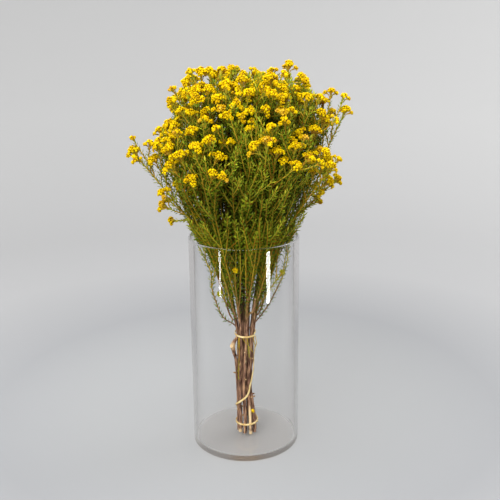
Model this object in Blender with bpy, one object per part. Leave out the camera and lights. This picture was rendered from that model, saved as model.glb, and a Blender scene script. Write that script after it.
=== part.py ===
"""A bunch of yellow phylica, held by an elastic band and standing in a clear glass cylinder.

Metres, +Z up. The origin is the centre of the glass base's underside, and -Y is the front.
Twelve cut stems stand on the glass floor, nine of them round three. Each stem is one plant piece, so
it is one closed body: shoots grow out of faces of its woody base, twigs out of faces of the shoots,
needle leaves out of their ring faces, and a button head closes each tip. A shoot or twig is only
kept where it passes clear of everything that has grown before it.
"""

import bisect
import math
import random

import bpy
import numpy as np
from mathutils import Vector

# Glass cylinder
VASE_RADIUS = 0.075
VASE_HEIGHT = 0.300
VASE_WALL = 0.003
VASE_FLOOR = 0.007
VASE_HEEL = 0.004
VASE_SIDES = 48
LIP_STEPS = 2
HEEL_STEPS = 2

# Bundle of stems, from the glass floor to the upper turn of the band
STEM_FEET = (VASE_FLOOR + 0.0003, VASE_FLOOR + 0.0010, VASE_FLOOR + 0.0018, VASE_FLOOR + 0.0025)
LOWER_TIE = 0.023
WAIST = 0.079
UPPER_TIE = 0.156
FIRST_FORK = 0.178
FORK_RISE = 0.016
FORK_RANGE = 0.050
FORK_GAP = 0.011
BUNDLE_OUTLINE = ((0.0, 0.0146), (LOWER_TIE, 0.0146), (WAIST, 0.0112), (UPPER_TIE, 0.0134),
                  (0.200, 0.0205), (0.250, 0.0330), (0.300, 0.0480), (0.340, 0.0620))
BUNDLE_MIDDLE = ((0.0, 0.0016), (LOWER_TIE, 0.0014), (WAIST, -0.0018), (UPPER_TIE, 0.0004), (0.340, 0.0))
BUNDLE_TWIST = math.radians(26)
OUTER_STEMS = 9
INNER_STEMS = 3
INNER_RING = 0.298
INNER_TURN = math.radians(20)
STEM_RADII = (0.0025, 0.0024, 0.0022)
FOOT_SWELL = 1.20
STEM_TOP_RADIUS = 0.0016
STEM_SIDES = 5
STEM_STOPS = (LOWER_TIE, 0.050, WAIST, 0.118, 0.139, UPPER_TIE, 0.180, 0.210, 0.240, 0.270)
STEM_TOPS = (0.235, 0.300)

# Pruned knuckle on one stem of the front left, as height against extra radius
KNUCKLE_STEM = 5
KNUCKLE = ((0.120, 0.0), (0.131, 0.0007), (0.139, 0.0016), (0.145, 0.0007), (0.151, 0.0))
# How far that stem's bare wood leans out below the upper tie
KNUCKLE_LEAN = ((0.060, 0.0), (0.100, 0.0016), (0.128, 0.0042), (0.139, 0.0046), (0.147, 0.0020), (0.151, 0.0))

# Low side shoots inside the glass: stem, height of the fork, points on the way, head radius
BUD_RADIUS = 0.0052
LOW_SHOOTS = ((5, 0.166, ((-0.032, -0.009, 0.185), (-0.045, -0.012, 0.225), (-0.046, -0.012, 0.248),
                          (-0.062, -0.012, 0.284)), 0.0),
              (0, 0.170, ((0.035, -0.002, 0.199), (0.057, -0.002, 0.245), (0.064, 0.004, 0.277)), 0.0),
              (8, 0.190, ((0.032, -0.020, 0.222), (0.049, -0.026, 0.249)), BUD_RADIUS),
              (5, 0.190, ((-0.024, -0.018, 0.205), (-0.031, -0.024, 0.219)), BUD_RADIUS),
              (6, 0.206, ((-0.012, -0.031, 0.235), (-0.012, -0.040, 0.257)), BUD_RADIUS))
STUBS = ((7, 0.186, ((0.012, -0.022, 0.197), (0.0143, -0.026, 0.215))),)
STUB_RADII = (0.0016, 0.0015)
LOW_START = 0.008
LOW_LEAFY_FROM = 0.020

# Crown, as head centres may reach it: height against reach from the middle; then the heads that
# stand furthest out, each after the stem that carries it
CROWN_OUTLINE = ((0.300, 0.068), (0.320, 0.085), (0.342, 0.105), (0.365, 0.116), (0.400, 0.116),
                 (0.457, 0.113), (0.480, 0.105), (0.503, 0.088), (0.514, 0.062), (0.522, 0.032),
                 (0.525, 0.0))
LEADER_TIPS = {9: (0.060, 0.004, 0.522)}
REACHING_TIPS = ((5, (-0.142, -0.014, 0.417)), (0, (0.133, -0.006, 0.466)), (0, (0.129, 0.032, 0.370)),
                 (4, (-0.100, 0.036, 0.314)), (5, (-0.104, -0.037, 0.366)), (1, (0.104, 0.048, 0.336)),
                 (8, (0.110, -0.054, 0.402)))
CROWN_SHOULDER = 0.450
INNER_REACH = 0.056
INNER_DEPTH = 0.035
INNER_SWING = 1.0
OUTER_REACH = (0.050, 0.112)
OUTER_DEPTH = 0.050
OUTER_SWING = 0.33
SIDE_SHARE = (0.86, 0.98)
RIM_REACH = 0.060
RIM_PASS = 0.306
OUTER_SHOOTS = 3
INNER_SHOOTS = 2
TRIALS = 700
TWIGS_PER_SHOOT = (2, 3, 3)
SHOOT_RADII = (0.0014, 0.0010)
TWIG_RADII = (0.0011, 0.0009)
LOWEST_TIPS = ((0.0, 0.352), (90.0, 0.350), (170.0, 0.372), (215.0, 0.395), (250.0, 0.425),
               (310.0, 0.425), (345.0, 0.375), (360.0, 0.352))
SIDE_TIP_RANGE = 0.070
TWIG_ROOTS = (0.014, 0.075)
TWIG_SPREAD = (0.015, 0.034)
TWIG_REACH = (0.55, 1.15)
TWIG_GAP = 0.006
SHOOT_LEAN = math.radians(32)
SHOOT_LIFT = 0.35
TWIG_LIFT = 0.20
TWIG_LEAN = math.radians(40)
LEAVING_HANDLE = 0.022
LEAVING_STEP = 0.012
HANDLE_SHARE = 0.3
SHOOT_LEAFY_FROM = 0.012
LEADER_LEAFY_FROM = 0.006
GROWN_SIDES = 3

# Needle leaves and flower heads
NEEDLE_LENGTH = 0.0066
NEEDLE_LEAN = math.radians(50)
WHORL_SPACING = 0.042
WHORL_TURN = math.radians(42)
EXTRA_WHORL = 0.2
NEEDLE_HALF = 0.0005
NECK_BARE = 0.0095
TIP_BARE = 0.004
NODE_GAP = 0.0048
HEAD_RADII = (0.0070, 0.0085)
HEAD_SEAT = 0.8
HEAD_SIDES = 4
HEAD_RINGS = ((0.46, 0.76), (1.26, 0.64))
HEAD_MIDDLE = 0.84

# Node lengths along a stem, where something grows out of a face
STEM_NODE = 0.0030
GROWN_NODE = 0.0019
BARE_SPACING = 0.030
BARE_TURN = 0.2
SWELLING_GAP = 0.008

# Clear distances
HEAD_CLEAR = 0.0007
WOOD_CLEAR = 0.0018
NEEDLE_CLEAR = 0.0006
GLASS_CLEAR = 0.0020
ROOT_CLEAR = 0.0008
SPAN = 0.008
FIRST_SPANS = 1.5
QUARTERS = (0.25, 0.5, 0.75, 1.0)
DOT = Vector((0.0, 0.0, 0.0001))
ROUTE_STEP = 0.0055
HEADING_REACH = 0.003
START = 0.004
ROOT_STEP = 0.0002
TIP_RISE = 0.0006
NEEDLE_OWNER = 0.5

# Elastic band: heights, and azimuths in degrees seen from the front and counted to the right
BAND_WIDTH = 0.0026
BAND_THICK = 0.0010
BAND_CLEAR = 0.0006
BAND_STEP = math.radians(23)
BAND_PITCH = 0.0032
BAND_TURN_STEPS = 6
BAND_UNROLL = 0.0130
UPPER_TURN = (-300.0, 60.0)
LOWER_TURN = (-275.0, -635.0)
BAND_RUN = ((0.1480, 88.0), (0.1375, 102.0), (0.1270, 106.0), (0.1140, 98.0), (0.1000, 74.0),
            (0.0850, 50.0), (0.0690, 22.0), (0.0590, -25.0), (0.0500, -75.0), (0.0410, -130.0),
            (0.0330, -185.0), (0.0270, -235.0))

# Looks
GLASS_COLOUR = (0.86, 0.88, 0.87)
GLASS_ROUGHNESS = 0.02
ELASTIC_COLOUR = (0.72, 0.55, 0.25)
ELASTIC_ROUGHNESS = 0.55
PLANT_COLOUR = (0.22, 0.21, 0.035)
PLANT_ROUGHNESS = 0.7
SHARP_FOLD = math.radians(40)

SEED = 10


def between(table, key):
    """Read a value out of a table of (key, value) pairs, straight between its rows."""
    keys = [row[0] for row in table]
    place = min(max(bisect.bisect_right(keys, key) - 1, 0), len(keys) - 2)
    low, high = table[place], table[place + 1]
    share = min(max((key - low[0]) / (high[0] - low[0]), 0.0), 1.0)
    return low[1] + (high[1] - low[1]) * share


def across(direction):
    """Two directions at right angles to the given one and to each other."""
    guide = Vector((1.0, 0.0, 0.0)) if abs(direction.x) < 0.75 else Vector((0.0, 1.0, 0.0))
    first = (guide - direction * guide.dot(direction)).normalized()
    return first, direction.cross(first)


class Route:
    """A smooth line through space that can be read at any distance along it."""

    def __init__(self, points):
        self.points = points
        self.marks = [0.0]
        for before, after in zip(points, points[1:]):
            self.marks.append(self.marks[-1] + (after - before).length)
        self.length = self.marks[-1]

    def place(self, distance):
        """The span that holds a distance, and how far along it that is."""
        span = min(max(bisect.bisect_right(self.marks, distance) - 1, 0), len(self.points) - 2)
        return span, (distance - self.marks[span]) / (self.marks[span + 1] - self.marks[span])

    def at(self, distance):
        span, share = self.place(distance)
        return self.points[span].lerp(self.points[span + 1], share)

    def heading(self, distance):
        return (self.at(distance + HEADING_REACH) - self.at(distance - HEADING_REACH)).normalized()

    def spans(self):
        """Straight pieces of about one span each, as start, end and distance from the root."""
        count = max(2, round(self.length / SPAN))
        marks = [self.length * index / count for index in range(count + 1)]
        return [(self.at(low), self.at(high), low) for low, high in zip(marks, marks[1:])]


def curve(start, leaving, end, arriving, handle_out, handle_in):
    """A route that leaves one point and arrives at another in the given directions."""
    first, last = start + leaving * handle_out, end - arriving * handle_in
    points = []
    steps = max(6, round((end - start).length / ROUTE_STEP))
    for step in range(steps + 1):
        t = step / steps
        points.append(start * (1 - t) ** 3 + first * 3 * t * (1 - t) ** 2
                      + last * 3 * t * t * (1 - t) + end * t ** 3)
    return Route(points)


def through(points):
    """A route that passes smoothly through the given points."""
    ends = [points[0] * 2 - points[1]] + points + [points[-1] * 2 - points[-2]]
    smooth = []
    for before, low, high, after in zip(ends, ends[1:], ends[2:], ends[3:]):
        steps = max(2, round((high - low).length / ROUTE_STEP))
        for step in range(steps):
            t = step / steps
            smooth.append((low * 2 + (high - before) * t + (before * 2 - low * 5 + high * 4 - after) * t * t
                           + (low * 3 - before - high * 3 + after) * t ** 3) / 2)
    return Route(smooth + [points[-1]])


class Crowd:
    """Everything that has grown so far, as straight rods with a radius and an owner."""

    def __init__(self):
        self.rods = np.zeros((0, 8))

    def add(self, start, end, radius, owner):
        self.rods = np.vstack([self.rods, [*start, *end, radius, owner]])

    def room(self, start, end, skip=()):
        """The smallest distance from a line to the skin of any rod that isn't skipped."""
        rods = self.rods[~np.isin(self.rods[:, 7], list(skip))]
        if not len(rods):
            return 1.0
        line = np.array(end - start)
        starts, lines = rods[:, :3], rods[:, 3:6] - rods[:, :3]
        offset = np.array(start) - starts
        own = line @ line
        theirs = np.maximum((lines * lines).sum(1), 1e-12)
        along, beside = lines @ line, (lines * offset).sum(1)
        back = offset @ line
        spread = np.maximum(own * theirs - along * along, 1e-16)
        mine = np.clip((along * beside - back * theirs) / spread, 0, 1)
        other = np.clip((along * mine + beside) / theirs, 0, 1)
        mine = np.clip((along * other - back) / own, 0, 1)
        gaps = offset + mine[:, None] * line - other[:, None] * lines
        return float((np.sqrt((gaps * gaps).sum(1)) - rods[:, 6]).min())


def clear_of_glass(place, radius):
    """Whether a ball at a place stays inside the glass, or wholly above its lip."""
    if place.z > VASE_HEIGHT + radius + GLASS_CLEAR:
        return True
    return math.hypot(place.x, place.y) + radius + GLASS_CLEAR < VASE_RADIUS - VASE_WALL


class Shoot:
    """A stem, shoot, twig or stub: its route, its thickness and what ends it."""

    count = 0

    def __init__(self, route, radii, sides=GROWN_SIDES, leafy_from=0.0, head=0.0):
        Shoot.count += 1
        self.owner = Shoot.count
        self.route, self.radii, self.sides = route, radii, sides
        self.leafy_from, self.head = leafy_from, head
        self.forks = []
        self.leader = None
        self.swellings = []

    def radius(self, distance):
        if callable(self.radii):
            return self.radii(distance)
        share = distance / self.route.length
        return self.radii[0] + (self.radii[1] - self.radii[0]) * share

    def head_middle(self):
        end = self.route.length
        return self.route.at(end) + self.route.heading(end) * self.head * HEAD_SEAT

    def fits(self, crowd, parent):
        """Whether the shoot and its head pass clear of all that has grown."""
        for start, end, distance in self.route.spans():
            skip = (parent.owner,) if distance < SPAN * FIRST_SPANS else ()
            if crowd.room(start, end, skip) < self.radius(distance) + WOOD_CLEAR:
                return False
            if not all(clear_of_glass(start.lerp(end, share), self.radius(distance))
                       for share in QUARTERS):
                return False
        middle = self.head_middle()
        if not clear_of_glass(middle, self.head):
            return False
        return not self.head or crowd.room(middle, middle + DOT) > self.head + HEAD_CLEAR

    def settle(self, crowd, parent=None, distance=0.0):
        """Take the shoot's room in the crowd, and its place on what carries it."""
        for start, end, along in self.route.spans():
            crowd.add(start, end, self.radius(along), self.owner)
        if self.head:
            middle = self.head_middle()
            crowd.add(middle, middle + DOT, self.head, -self.owner)
        if parent:
            parent.forks.append((distance, self))
        return self


def stem_azimuth(index):
    """Which way a stem stands from the bundle's middle, above the upper tie."""
    if index < OUTER_STEMS:
        return math.tau * index / OUTER_STEMS
    return math.tau * (index - OUTER_STEMS) / INNER_STEMS + INNER_TURN


def stem_place(index, height):
    """The middle of a stem at a height: nine in a ring round three, with one slow twist."""
    angle = stem_azimuth(index) + BUNDLE_TWIST * min(height / UPPER_TIE - 1.0, 0.0)
    if index < OUTER_STEMS:
        reach = between(BUNDLE_OUTLINE, height) - stem_radius(index, height)
        if index == KNUCKLE_STEM:
            reach += between(KNUCKLE, height) * 2
    else:
        reach = between(BUNDLE_OUTLINE, height) * INNER_RING
    middle = between(BUNDLE_MIDDLE, height)
    return Vector((middle + reach * math.cos(angle), reach * math.sin(angle), height))


def stem_radius(index, height):
    """A stem's thickness, thickest at its foot and thinner from stem to stem by turns."""
    size = STEM_RADII[index % len(STEM_RADII)]
    rows = ((0.0, size * FOOT_SWELL), (LOWER_TIE, size * FOOT_SWELL), (WAIST, size),
            (UPPER_TIE, size), (STEM_TOPS[1], STEM_TOP_RADIUS))
    return between(rows, height)


def knuckled_radius(index, height):
    """A stem's thickness with its knuckle, where it has one."""
    extra = between(KNUCKLE, height) if index == KNUCKLE_STEM else 0.0
    return stem_radius(index, height) + extra


def crown_top(reach):
    """Height of the crown's outline above a distance from its middle."""
    rows = sorted((row[1], row[0]) for row in CROWN_OUTLINE if row[0] > CROWN_SHOULDER)
    return between(rows, reach)


def random_tip(draw, index, low):
    """A place for the head at a shoot's tip, on the stem's own side of the crown."""
    angle = stem_azimuth(index)
    if index >= OUTER_STEMS:
        angle += draw.uniform(-INNER_SWING, INNER_SWING)
        reach = INNER_REACH * math.sqrt(draw.random())
        height = crown_top(reach) - INNER_DEPTH * draw.random() ** 2
    else:
        angle += draw.uniform(-OUTER_SWING, OUTER_SWING)
        if low:
            height = between(LOWEST_TIPS, math.degrees(angle) % 360.0) + draw.uniform(0.0, SIDE_TIP_RANGE)
            reach = between(CROWN_OUTLINE, height) * draw.uniform(*SIDE_SHARE)
        else:
            reach = draw.uniform(*OUTER_REACH)
            height = crown_top(reach) - OUTER_DEPTH * draw.random() ** 2
    return Vector((reach * math.cos(angle), reach * math.sin(angle), height))


def forked(parent, distance, tip, lean, radii, head, lift):
    """A shoot from a place on its parent to a tip, which leaves at an angle and turns upwards."""
    start = parent.route.at(distance)
    along = parent.route.heading(distance)
    aim = tip - start
    side = (aim - along * aim.dot(along)).normalized()
    leaving = along * math.cos(lean) + side * math.sin(lean)
    arriving = (aim.normalized() + Vector((0.0, 0.0, lift))).normalized()
    end = tip - arriving * head * HEAD_SEAT
    handle = min(LEAVING_HANDLE, aim.length * HANDLE_SHARE)
    pass_share = (RIM_PASS - start.z) / aim.z if aim.z > 0.0 else 0.0
    crossing = start + aim * pass_share
    reach = math.hypot(crossing.x, crossing.y)
    if 0.0 < pass_share < 1.0 and reach > RIM_REACH:
        crossing.xy = crossing.xy * (RIM_REACH / reach)
        end = tip - (tip - crossing).normalized() * head * HEAD_SEAT
        route = through([start, start + leaving * LEAVING_STEP, crossing, end])
    else:
        route = curve(start, leaving, end, arriving, handle, aim.length * HANDLE_SHARE)
    return Shoot(route, radii, leafy_from=SHOOT_LEAFY_FROM, head=head)


def low_shoot(crowd, stem, height, points, radii, leafy_from, head):
    """One side shoot or stub inside the glass, along its own points."""
    distance = height - stem.foot
    start, along = stem.route.at(distance), stem.route.heading(distance)
    aim = Vector(points[0]) - start
    side = (aim - along * aim.dot(along)).normalized()
    leaving = along * math.cos(SHOOT_LEAN) + side * math.sin(SHOOT_LEAN)
    route = through([start, start + leaving * LOW_START] + [Vector(point) for point in points])
    Shoot(route, radii, leafy_from=leafy_from, head=head).settle(crowd, stem, distance)


def grow_low_shoots(crowd, stems):
    """Set the side shoots, buds and cut stubs that stand inside the glass."""
    for index, height, points, head in LOW_SHOOTS:
        low_shoot(crowd, stems[index], height, points, TWIG_RADII, LOW_LEAFY_FROM, head)
    for index, height, points in STUBS:
        low_shoot(crowd, stems[index], height, points, STUB_RADII, None, 0.0)


def grow_leaders(draw, crowd, stems):
    """Carry each stem on from its top as a leafy shoot of its own."""
    leaders = []
    for index in sorted(range(len(stems)), key=lambda index: index not in LEADER_TIPS):
        stem = stems[index]
        end = stem.route.length
        start, along = stem.route.at(end), stem.route.heading(end)
        for trial in range(TRIALS):
            tip = Vector(LEADER_TIPS[index]) if index in LEADER_TIPS else random_tip(draw, index, False)
            head = draw.uniform(*HEAD_RADII)
            aim = tip - start
            arriving = (aim.normalized() + Vector((0.0, 0.0, SHOOT_LIFT))).normalized()
            foot = tip - arriving * head * HEAD_SEAT
            handle = aim.length * HANDLE_SHARE
            route = curve(start, along, foot, arriving, handle, handle)
            leader = Shoot(route, (STEM_TOP_RADIUS, SHOOT_RADII[1]), leafy_from=LEADER_LEAFY_FROM, head=head)
            if leader.fits(crowd, stem):
                stem.leader = leader.settle(crowd)
                leaders.append(leader)
                break
    return leaders


def grow_shoot(draw, crowd, index, stem, turn, tip=None):
    """Fork one leafy shoot off a stem, to a given tip or to places that are tried until one fits."""
    low = FIRST_FORK + FORK_RISE * turn - stem.foot
    for trial in range(TRIALS):
        distance = draw.uniform(low, min(low + FORK_RANGE, stem.route.length - FORK_GAP))
        if any(abs(distance - other[0]) < FORK_GAP for other in stem.forks):
            continue
        end = tip or random_tip(draw, index, turn == 0)
        head = draw.uniform(*HEAD_RADII)
        shoot = forked(stem, distance, end, SHOOT_LEAN, SHOOT_RADII, head, SHOOT_LIFT)
        if shoot.fits(crowd, stem):
            return [shoot.settle(crowd, stem, distance)]
    return []


def grow_reaching_shoots(draw, crowd, stems):
    """Grow the shoots that stand out of the crown's outline."""
    shoots = []
    for index, tip in REACHING_TIPS:
        turn = len(stems[index].forks) % OUTER_SHOOTS
        shoots += grow_shoot(draw, crowd, index, stems[index], turn, Vector(tip))
    return shoots


def grow_shoots(draw, crowd, stems):
    """Fork leafy shoots off the stems, one from each stem in turn, and keep those that fit."""
    shoots = []
    for turn in range(OUTER_SHOOTS):
        for index, stem in enumerate(stems):
            if index < OUTER_STEMS or turn < INNER_SHOOTS:
                shoots += grow_shoot(draw, crowd, index, stem, turn)
    return shoots


def inside_crown(place):
    """Whether a head's middle lies inside the crown's outline."""
    return math.hypot(place.x, place.y) < between(CROWN_OUTLINE, place.z) and place.z < crown_top(0.0)


def grow_twigs(draw, crowd, shoots):
    """Set side twigs below the tips of the shoots, so that their heads stand in loose groups."""
    for shoot in shoots:
        wanted = draw.choice(TWIGS_PER_SHOOT)
        for trial in range(TRIALS):
            if len(shoot.forks) == wanted:
                break
            below = draw.uniform(*TWIG_ROOTS)
            distance = shoot.route.length - below
            if any(abs(distance - other[0]) < TWIG_GAP for other in shoot.forks):
                continue
            along = shoot.route.heading(distance)
            first, second = across(along)
            angle = draw.uniform(0.0, math.tau)
            side = first * math.cos(angle) + second * math.sin(angle)
            tip = shoot.route.at(distance) + along * below * draw.uniform(*TWIG_REACH)
            tip += side * draw.uniform(*TWIG_SPREAD)
            head = draw.uniform(*HEAD_RADII)
            twig = forked(shoot, distance, tip, TWIG_LEAN, TWIG_RADII, head, TWIG_LIFT)
            if inside_crown(tip) and twig.fits(crowd, shoot):
                twig.settle(crowd, shoot, distance)


class Skin:
    """The faces of one closed body, grown from a foot to its tips."""

    def __init__(self):
        self.points = []
        self.faces = []

    def ring(self, middle, heading, radius, sides, facing=0.0):
        """A ring of points round a direction, counted the way that a right-hand screw turns."""
        first, second = across(heading)
        ring = []
        for side in range(sides):
            angle = facing + math.tau * side / sides
            ring.append(len(self.points))
            self.points.append(middle + (first * math.cos(angle) + second * math.sin(angle)) * radius)
        return ring

    def middle(self, ring):
        return sum((self.points[index] for index in ring), Vector()) / len(ring)

    def bridge(self, low, high, heading):
        """Close the side between two rings of any counts with triangles."""
        first, second = across(heading)
        turns = []
        for ring in (low, high):
            middle = self.middle(ring)
            offsets = [self.points[index] - middle for index in ring]
            turns.append([math.atan2(offset.dot(second), offset.dot(first)) for offset in offsets])
        nearest = [abs(math.remainder(turn - turns[0][0], math.tau)) for turn in turns[1]]
        start = nearest.index(min(nearest))
        below = [math.remainder(turn - turns[0][0], math.tau) % math.tau for turn in turns[0]] + [math.tau]
        shift = math.remainder(turns[1][start] - turns[0][0], math.tau)
        above = [(turn - turns[1][start]) % math.tau + shift for turn in turns[1][start:] + turns[1][:start]]
        above.append(math.tau + shift)
        high = high[start:] + high[:start]
        below[0] = 0.0
        i = j = 0
        while i < len(low) or j < len(high):
            here, there = low[i % len(low)], high[j % len(high)]
            if j == len(high) or (i < len(low) and below[i + 1] <= above[j + 1]):
                self.faces.append((here, low[(i + 1) % len(low)], there))
                i += 1
            else:
                self.faces.append((here, high[(j + 1) % len(high)], there))
                j += 1

    def cap(self, ring, tip):
        """Close a ring to one point."""
        self.points.append(tip)
        for index, here in enumerate(ring):
            self.faces.append((here, ring[(index + 1) % len(ring)], len(self.points) - 1))

    def head(self, ring, foot, heading, radius):
        """A button head whose whole face stands out in groups of florets, one on each side face."""
        middle = foot + heading * radius * HEAD_MIDDLE
        (low, low_reach), (high, high_reach) = HEAD_RINGS
        lower = self.ring(foot + heading * radius * low, heading, radius * low_reach, HEAD_SIDES)
        upper = self.ring(foot + heading * radius * high, heading, radius * high_reach, HEAD_SIDES,
                          math.pi / HEAD_SIDES)
        self.bridge(ring, lower, heading)
        first = len(self.faces)
        self.bridge(lower, upper, heading)
        sides = self.faces[first:]
        del self.faces[first:]
        for side in sides:
            outward = (self.middle(side) - middle).normalized()
            self.cap(side, middle + outward * radius)
        self.cap(upper, middle + heading * radius)


def node_events(shoot):
    """Where a shoot has a ring of needles or a fork, from its root to its tip."""
    events = [(distance, child) for distance, child in shoot.forks]
    if shoot.leafy_from is not None:
        reach = shoot.route.length - (NECK_BARE if shoot.head else TIP_BARE)
        count = round((reach - shoot.leafy_from) / WHORL_SPACING + EXTRA_WHORL)
        for index in range(count):
            distance = reach - index * (reach - shoot.leafy_from) / count
            if all(abs(distance - other) > NODE_GAP for other, _ in events):
                events.append((distance, None))
    return sorted(events, key=lambda event: event[0])


def face_towards(heading, child, sides):
    """The turn of a ring that sets the middle of its first side towards a child's way out."""
    first, second = across(heading)
    leaving = child.route.heading(START)
    return math.atan2(leaving.dot(second), leaving.dot(first)) - math.pi / sides


def grow_skin(skin, shoot, root, crowd):
    """Lay the faces of a shoot from its root ring on, with all that grows out of it."""
    route, sides = shoot.route, shoot.sides
    length = STEM_NODE if sides == STEM_SIDES else GROWN_NODE
    ring, done = root, 0.0
    for number, (distance, child) in enumerate(node_events(shoot)):
        heading = route.heading(distance)
        facing = face_towards(heading, child, sides) if child else number * WHORL_TURN
        half = heading * length / 2
        low = skin.ring(route.at(distance) - half, heading, shoot.radius(distance), sides, facing)
        high = skin.ring(route.at(distance) + half, heading, shoot.radius(distance), sides, facing)
        if sides == STEM_SIDES:
            ring = lay_stem(skin, shoot, ring, done, distance - length / 2)
        skin.bridge(ring, low, heading)
        for side in range(sides):
            after = (side + 1) % sides
            corners = [low[side], low[after], high[after], high[side]]
            if child and side == 0:
                grow_child(skin, child, corners, crowd)
            elif child or not grow_needle(skin, shoot, corners, heading, (number + side) % 2, crowd):
                skin.faces.append((corners[0], corners[1], corners[3]))
                skin.faces.append((corners[1], corners[2], corners[3]))
        ring, done = high, distance + length / 2
    if sides == STEM_SIDES:
        ring = lay_stem(skin, shoot, ring, done, route.length)
    if shoot.leader:
        grow_leader(skin, shoot.leader, ring, crowd)
    else:
        end_shoot(skin, shoot, ring)


def end_shoot(skin, shoot, ring):
    """Close a shoot with its head, with a leafy point, or with a flat cut across bare wood."""
    end = shoot.route.length
    place, heading = shoot.route.at(end), shoot.route.heading(end)
    if shoot.head or shoot.leafy_from is None:
        top = skin.ring(place, heading, shoot.radius(end), shoot.sides)
        skin.bridge(ring, top, heading)
        ring = top
    if shoot.head:
        skin.head(ring, place, heading, shoot.head)
    else:
        skin.cap(ring, place + heading * TIP_RISE)


def lay_stem(skin, shoot, ring, low, high):
    """Rings of a bare stretch of stem, close enough to follow its bends and its knuckle."""
    count = int((high - low) / BARE_SPACING)
    stops = [low + (high - low) * index / (count + 1) for index in range(1, count + 1)]
    if any(low < stop < high for stop in shoot.swellings):
        first, last = shoot.swellings[0] - SWELLING_GAP, shoot.swellings[-1] + SWELLING_GAP
        stops = [stop for stop in stops if not first < stop < last]
        stops += [stop for stop in shoot.swellings if low < stop < high]
    for index, distance in enumerate(sorted(stops)):
        heading, place = shoot.route.heading(distance), shoot.route.at(distance)
        if shoot.swellings:
            outward = Vector((place.x - between(BUNDLE_MIDDLE, place.z), place.y, 0.0)).normalized()
            place += outward * between(KNUCKLE_LEAN, place.z)
        after = skin.ring(place, heading, shoot.radius(distance), shoot.sides, index * BARE_TURN)
        skin.bridge(ring, after, heading)
        ring = after
    return ring


def grow_leader(skin, leader, ring, crowd):
    """Carry a stem on from its top ring as its leading shoot."""
    heading = leader.route.heading(START)
    root = skin.ring(leader.route.at(START), heading, leader.radius(0.0), leader.sides)
    skin.bridge(ring, root, heading)
    grow_skin(skin, leader, root, crowd)


def grow_child(skin, child, corners, crowd):
    """Start a child shoot on a face of its parent, far enough out to clear the face."""
    heading = child.route.heading(START)
    middle = skin.middle(corners)
    clear = child.radius(0.0) / math.tan(SHOOT_LEAN) + ROOT_CLEAR
    distance = 0.0
    while (child.route.at(distance) - middle).dot(heading) < clear:
        distance += ROOT_STEP
    ring = skin.ring(child.route.at(distance), heading, child.radius(0.0), child.sides)
    skin.bridge(corners, ring, heading)
    grow_skin(skin, child, ring, crowd)


def grow_needle(skin, shoot, corners, heading, upper, crowd):
    """Draw one needle out of half of a face, if it stands clear of everything else."""
    points = [skin.points[index] for index in corners]
    half, rest = ((1, 2, 3), (0, 1, 3)) if upper else ((0, 1, 3), (1, 2, 3))
    base = sum((points[index] for index in half), Vector()) / 3
    outward = (points[1] - points[0]).cross(points[3] - points[0]).normalized()
    lean = heading * math.cos(NEEDLE_LEAN) + outward * math.sin(NEEDLE_LEAN)
    tip = base + lean * NEEDLE_LENGTH
    start = base + lean * NEEDLE_HALF * 2
    room = crowd.room(start, tip, (shoot.owner,))
    if room < NEEDLE_CLEAR + NEEDLE_HALF or not clear_of_glass(tip, NEEDLE_HALF):
        return False
    crowd.add(start, tip, NEEDLE_HALF, shoot.owner + NEEDLE_OWNER)
    skin.cap([corners[index] for index in half], tip)
    skin.faces.append(tuple(corners[index] for index in rest))
    return True


def make_object(name, points, faces, material):
    """One closed mesh as a named object with its material, shaded smooth between sharp folds."""
    mesh = bpy.data.meshes.new(name)
    mesh.from_pydata([tuple(point) for point in points], [], faces)
    mesh.materials.append(material)
    mesh.shade_smooth()
    mesh.set_sharp_from_angle(angle=SHARP_FOLD)
    part = bpy.data.objects.new(name, mesh)
    bpy.context.scene.collection.objects.link(part)
    return part


def make_material(name, colour, roughness, transmission=0.0):
    """A finish with one colour and roughness, clear or not."""
    material = bpy.data.materials.new(name)
    material.use_nodes = True
    shader = material.node_tree.nodes["Principled BSDF"]
    shader.inputs["Base Color"].default_value = (*colour, 1.0)
    shader.inputs["Roughness"].default_value = roughness
    shader.inputs["Metallic"].default_value = 0.0
    shader.inputs["Transmission Weight"].default_value = transmission
    material.diffuse_color = (*colour, 1.0)
    return material


def arc(middle, radius, start, end, steps):
    """Points on a quarter or half circle in the profile plane, angles in degrees."""
    angles = [math.radians(start + (end - start) * step / steps) for step in range(steps + 1)]
    return [(middle[0] + radius * math.cos(angle), middle[1] + radius * math.sin(angle)) for angle in angles]


def make_vase():
    """A straight glass cylinder with a thick flat base, a round heel and a fire-polished lip."""
    lip = VASE_WALL / 2
    inner = VASE_RADIUS - VASE_WALL
    profile = arc((VASE_RADIUS - VASE_HEEL, VASE_HEEL), VASE_HEEL, -90, 0, HEEL_STEPS)
    profile += arc((VASE_RADIUS - lip, VASE_HEIGHT - lip), lip, 0, 180, LIP_STEPS)
    profile += arc((inner - VASE_HEEL, VASE_FLOOR + VASE_HEEL), VASE_HEEL, 0, -90, HEEL_STEPS)
    points, faces = [], []
    for reach, height in profile:
        for side in range(VASE_SIDES):
            angle = math.tau * side / VASE_SIDES
            points.append(Vector((reach * math.cos(angle), reach * math.sin(angle), height)))
    for row in range(len(profile) - 1):
        for side in range(VASE_SIDES):
            after = (side + 1) % VASE_SIDES
            low, high = row * VASE_SIDES, (row + 1) * VASE_SIDES
            faces.append((low + side, low + after, high + after, high + side))
    faces.append(tuple(reversed(range(VASE_SIDES))))
    last = (len(profile) - 1) * VASE_SIDES
    faces.append(tuple(last + side for side in range(VASE_SIDES)))
    glass = make_material("clear_glass", GLASS_COLOUR, GLASS_ROUGHNESS, transmission=1.0)
    return make_object("vase", points, faces, glass)


def band_reach(height):
    """Radius round the bundle's middle that clears every stem at a height."""
    middle = Vector((between(BUNDLE_MIDDLE, height), 0.0, height))
    return max((stem_place(index, height) - middle).length + stem_radius(index, height)
               for index in range(OUTER_STEMS))


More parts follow.
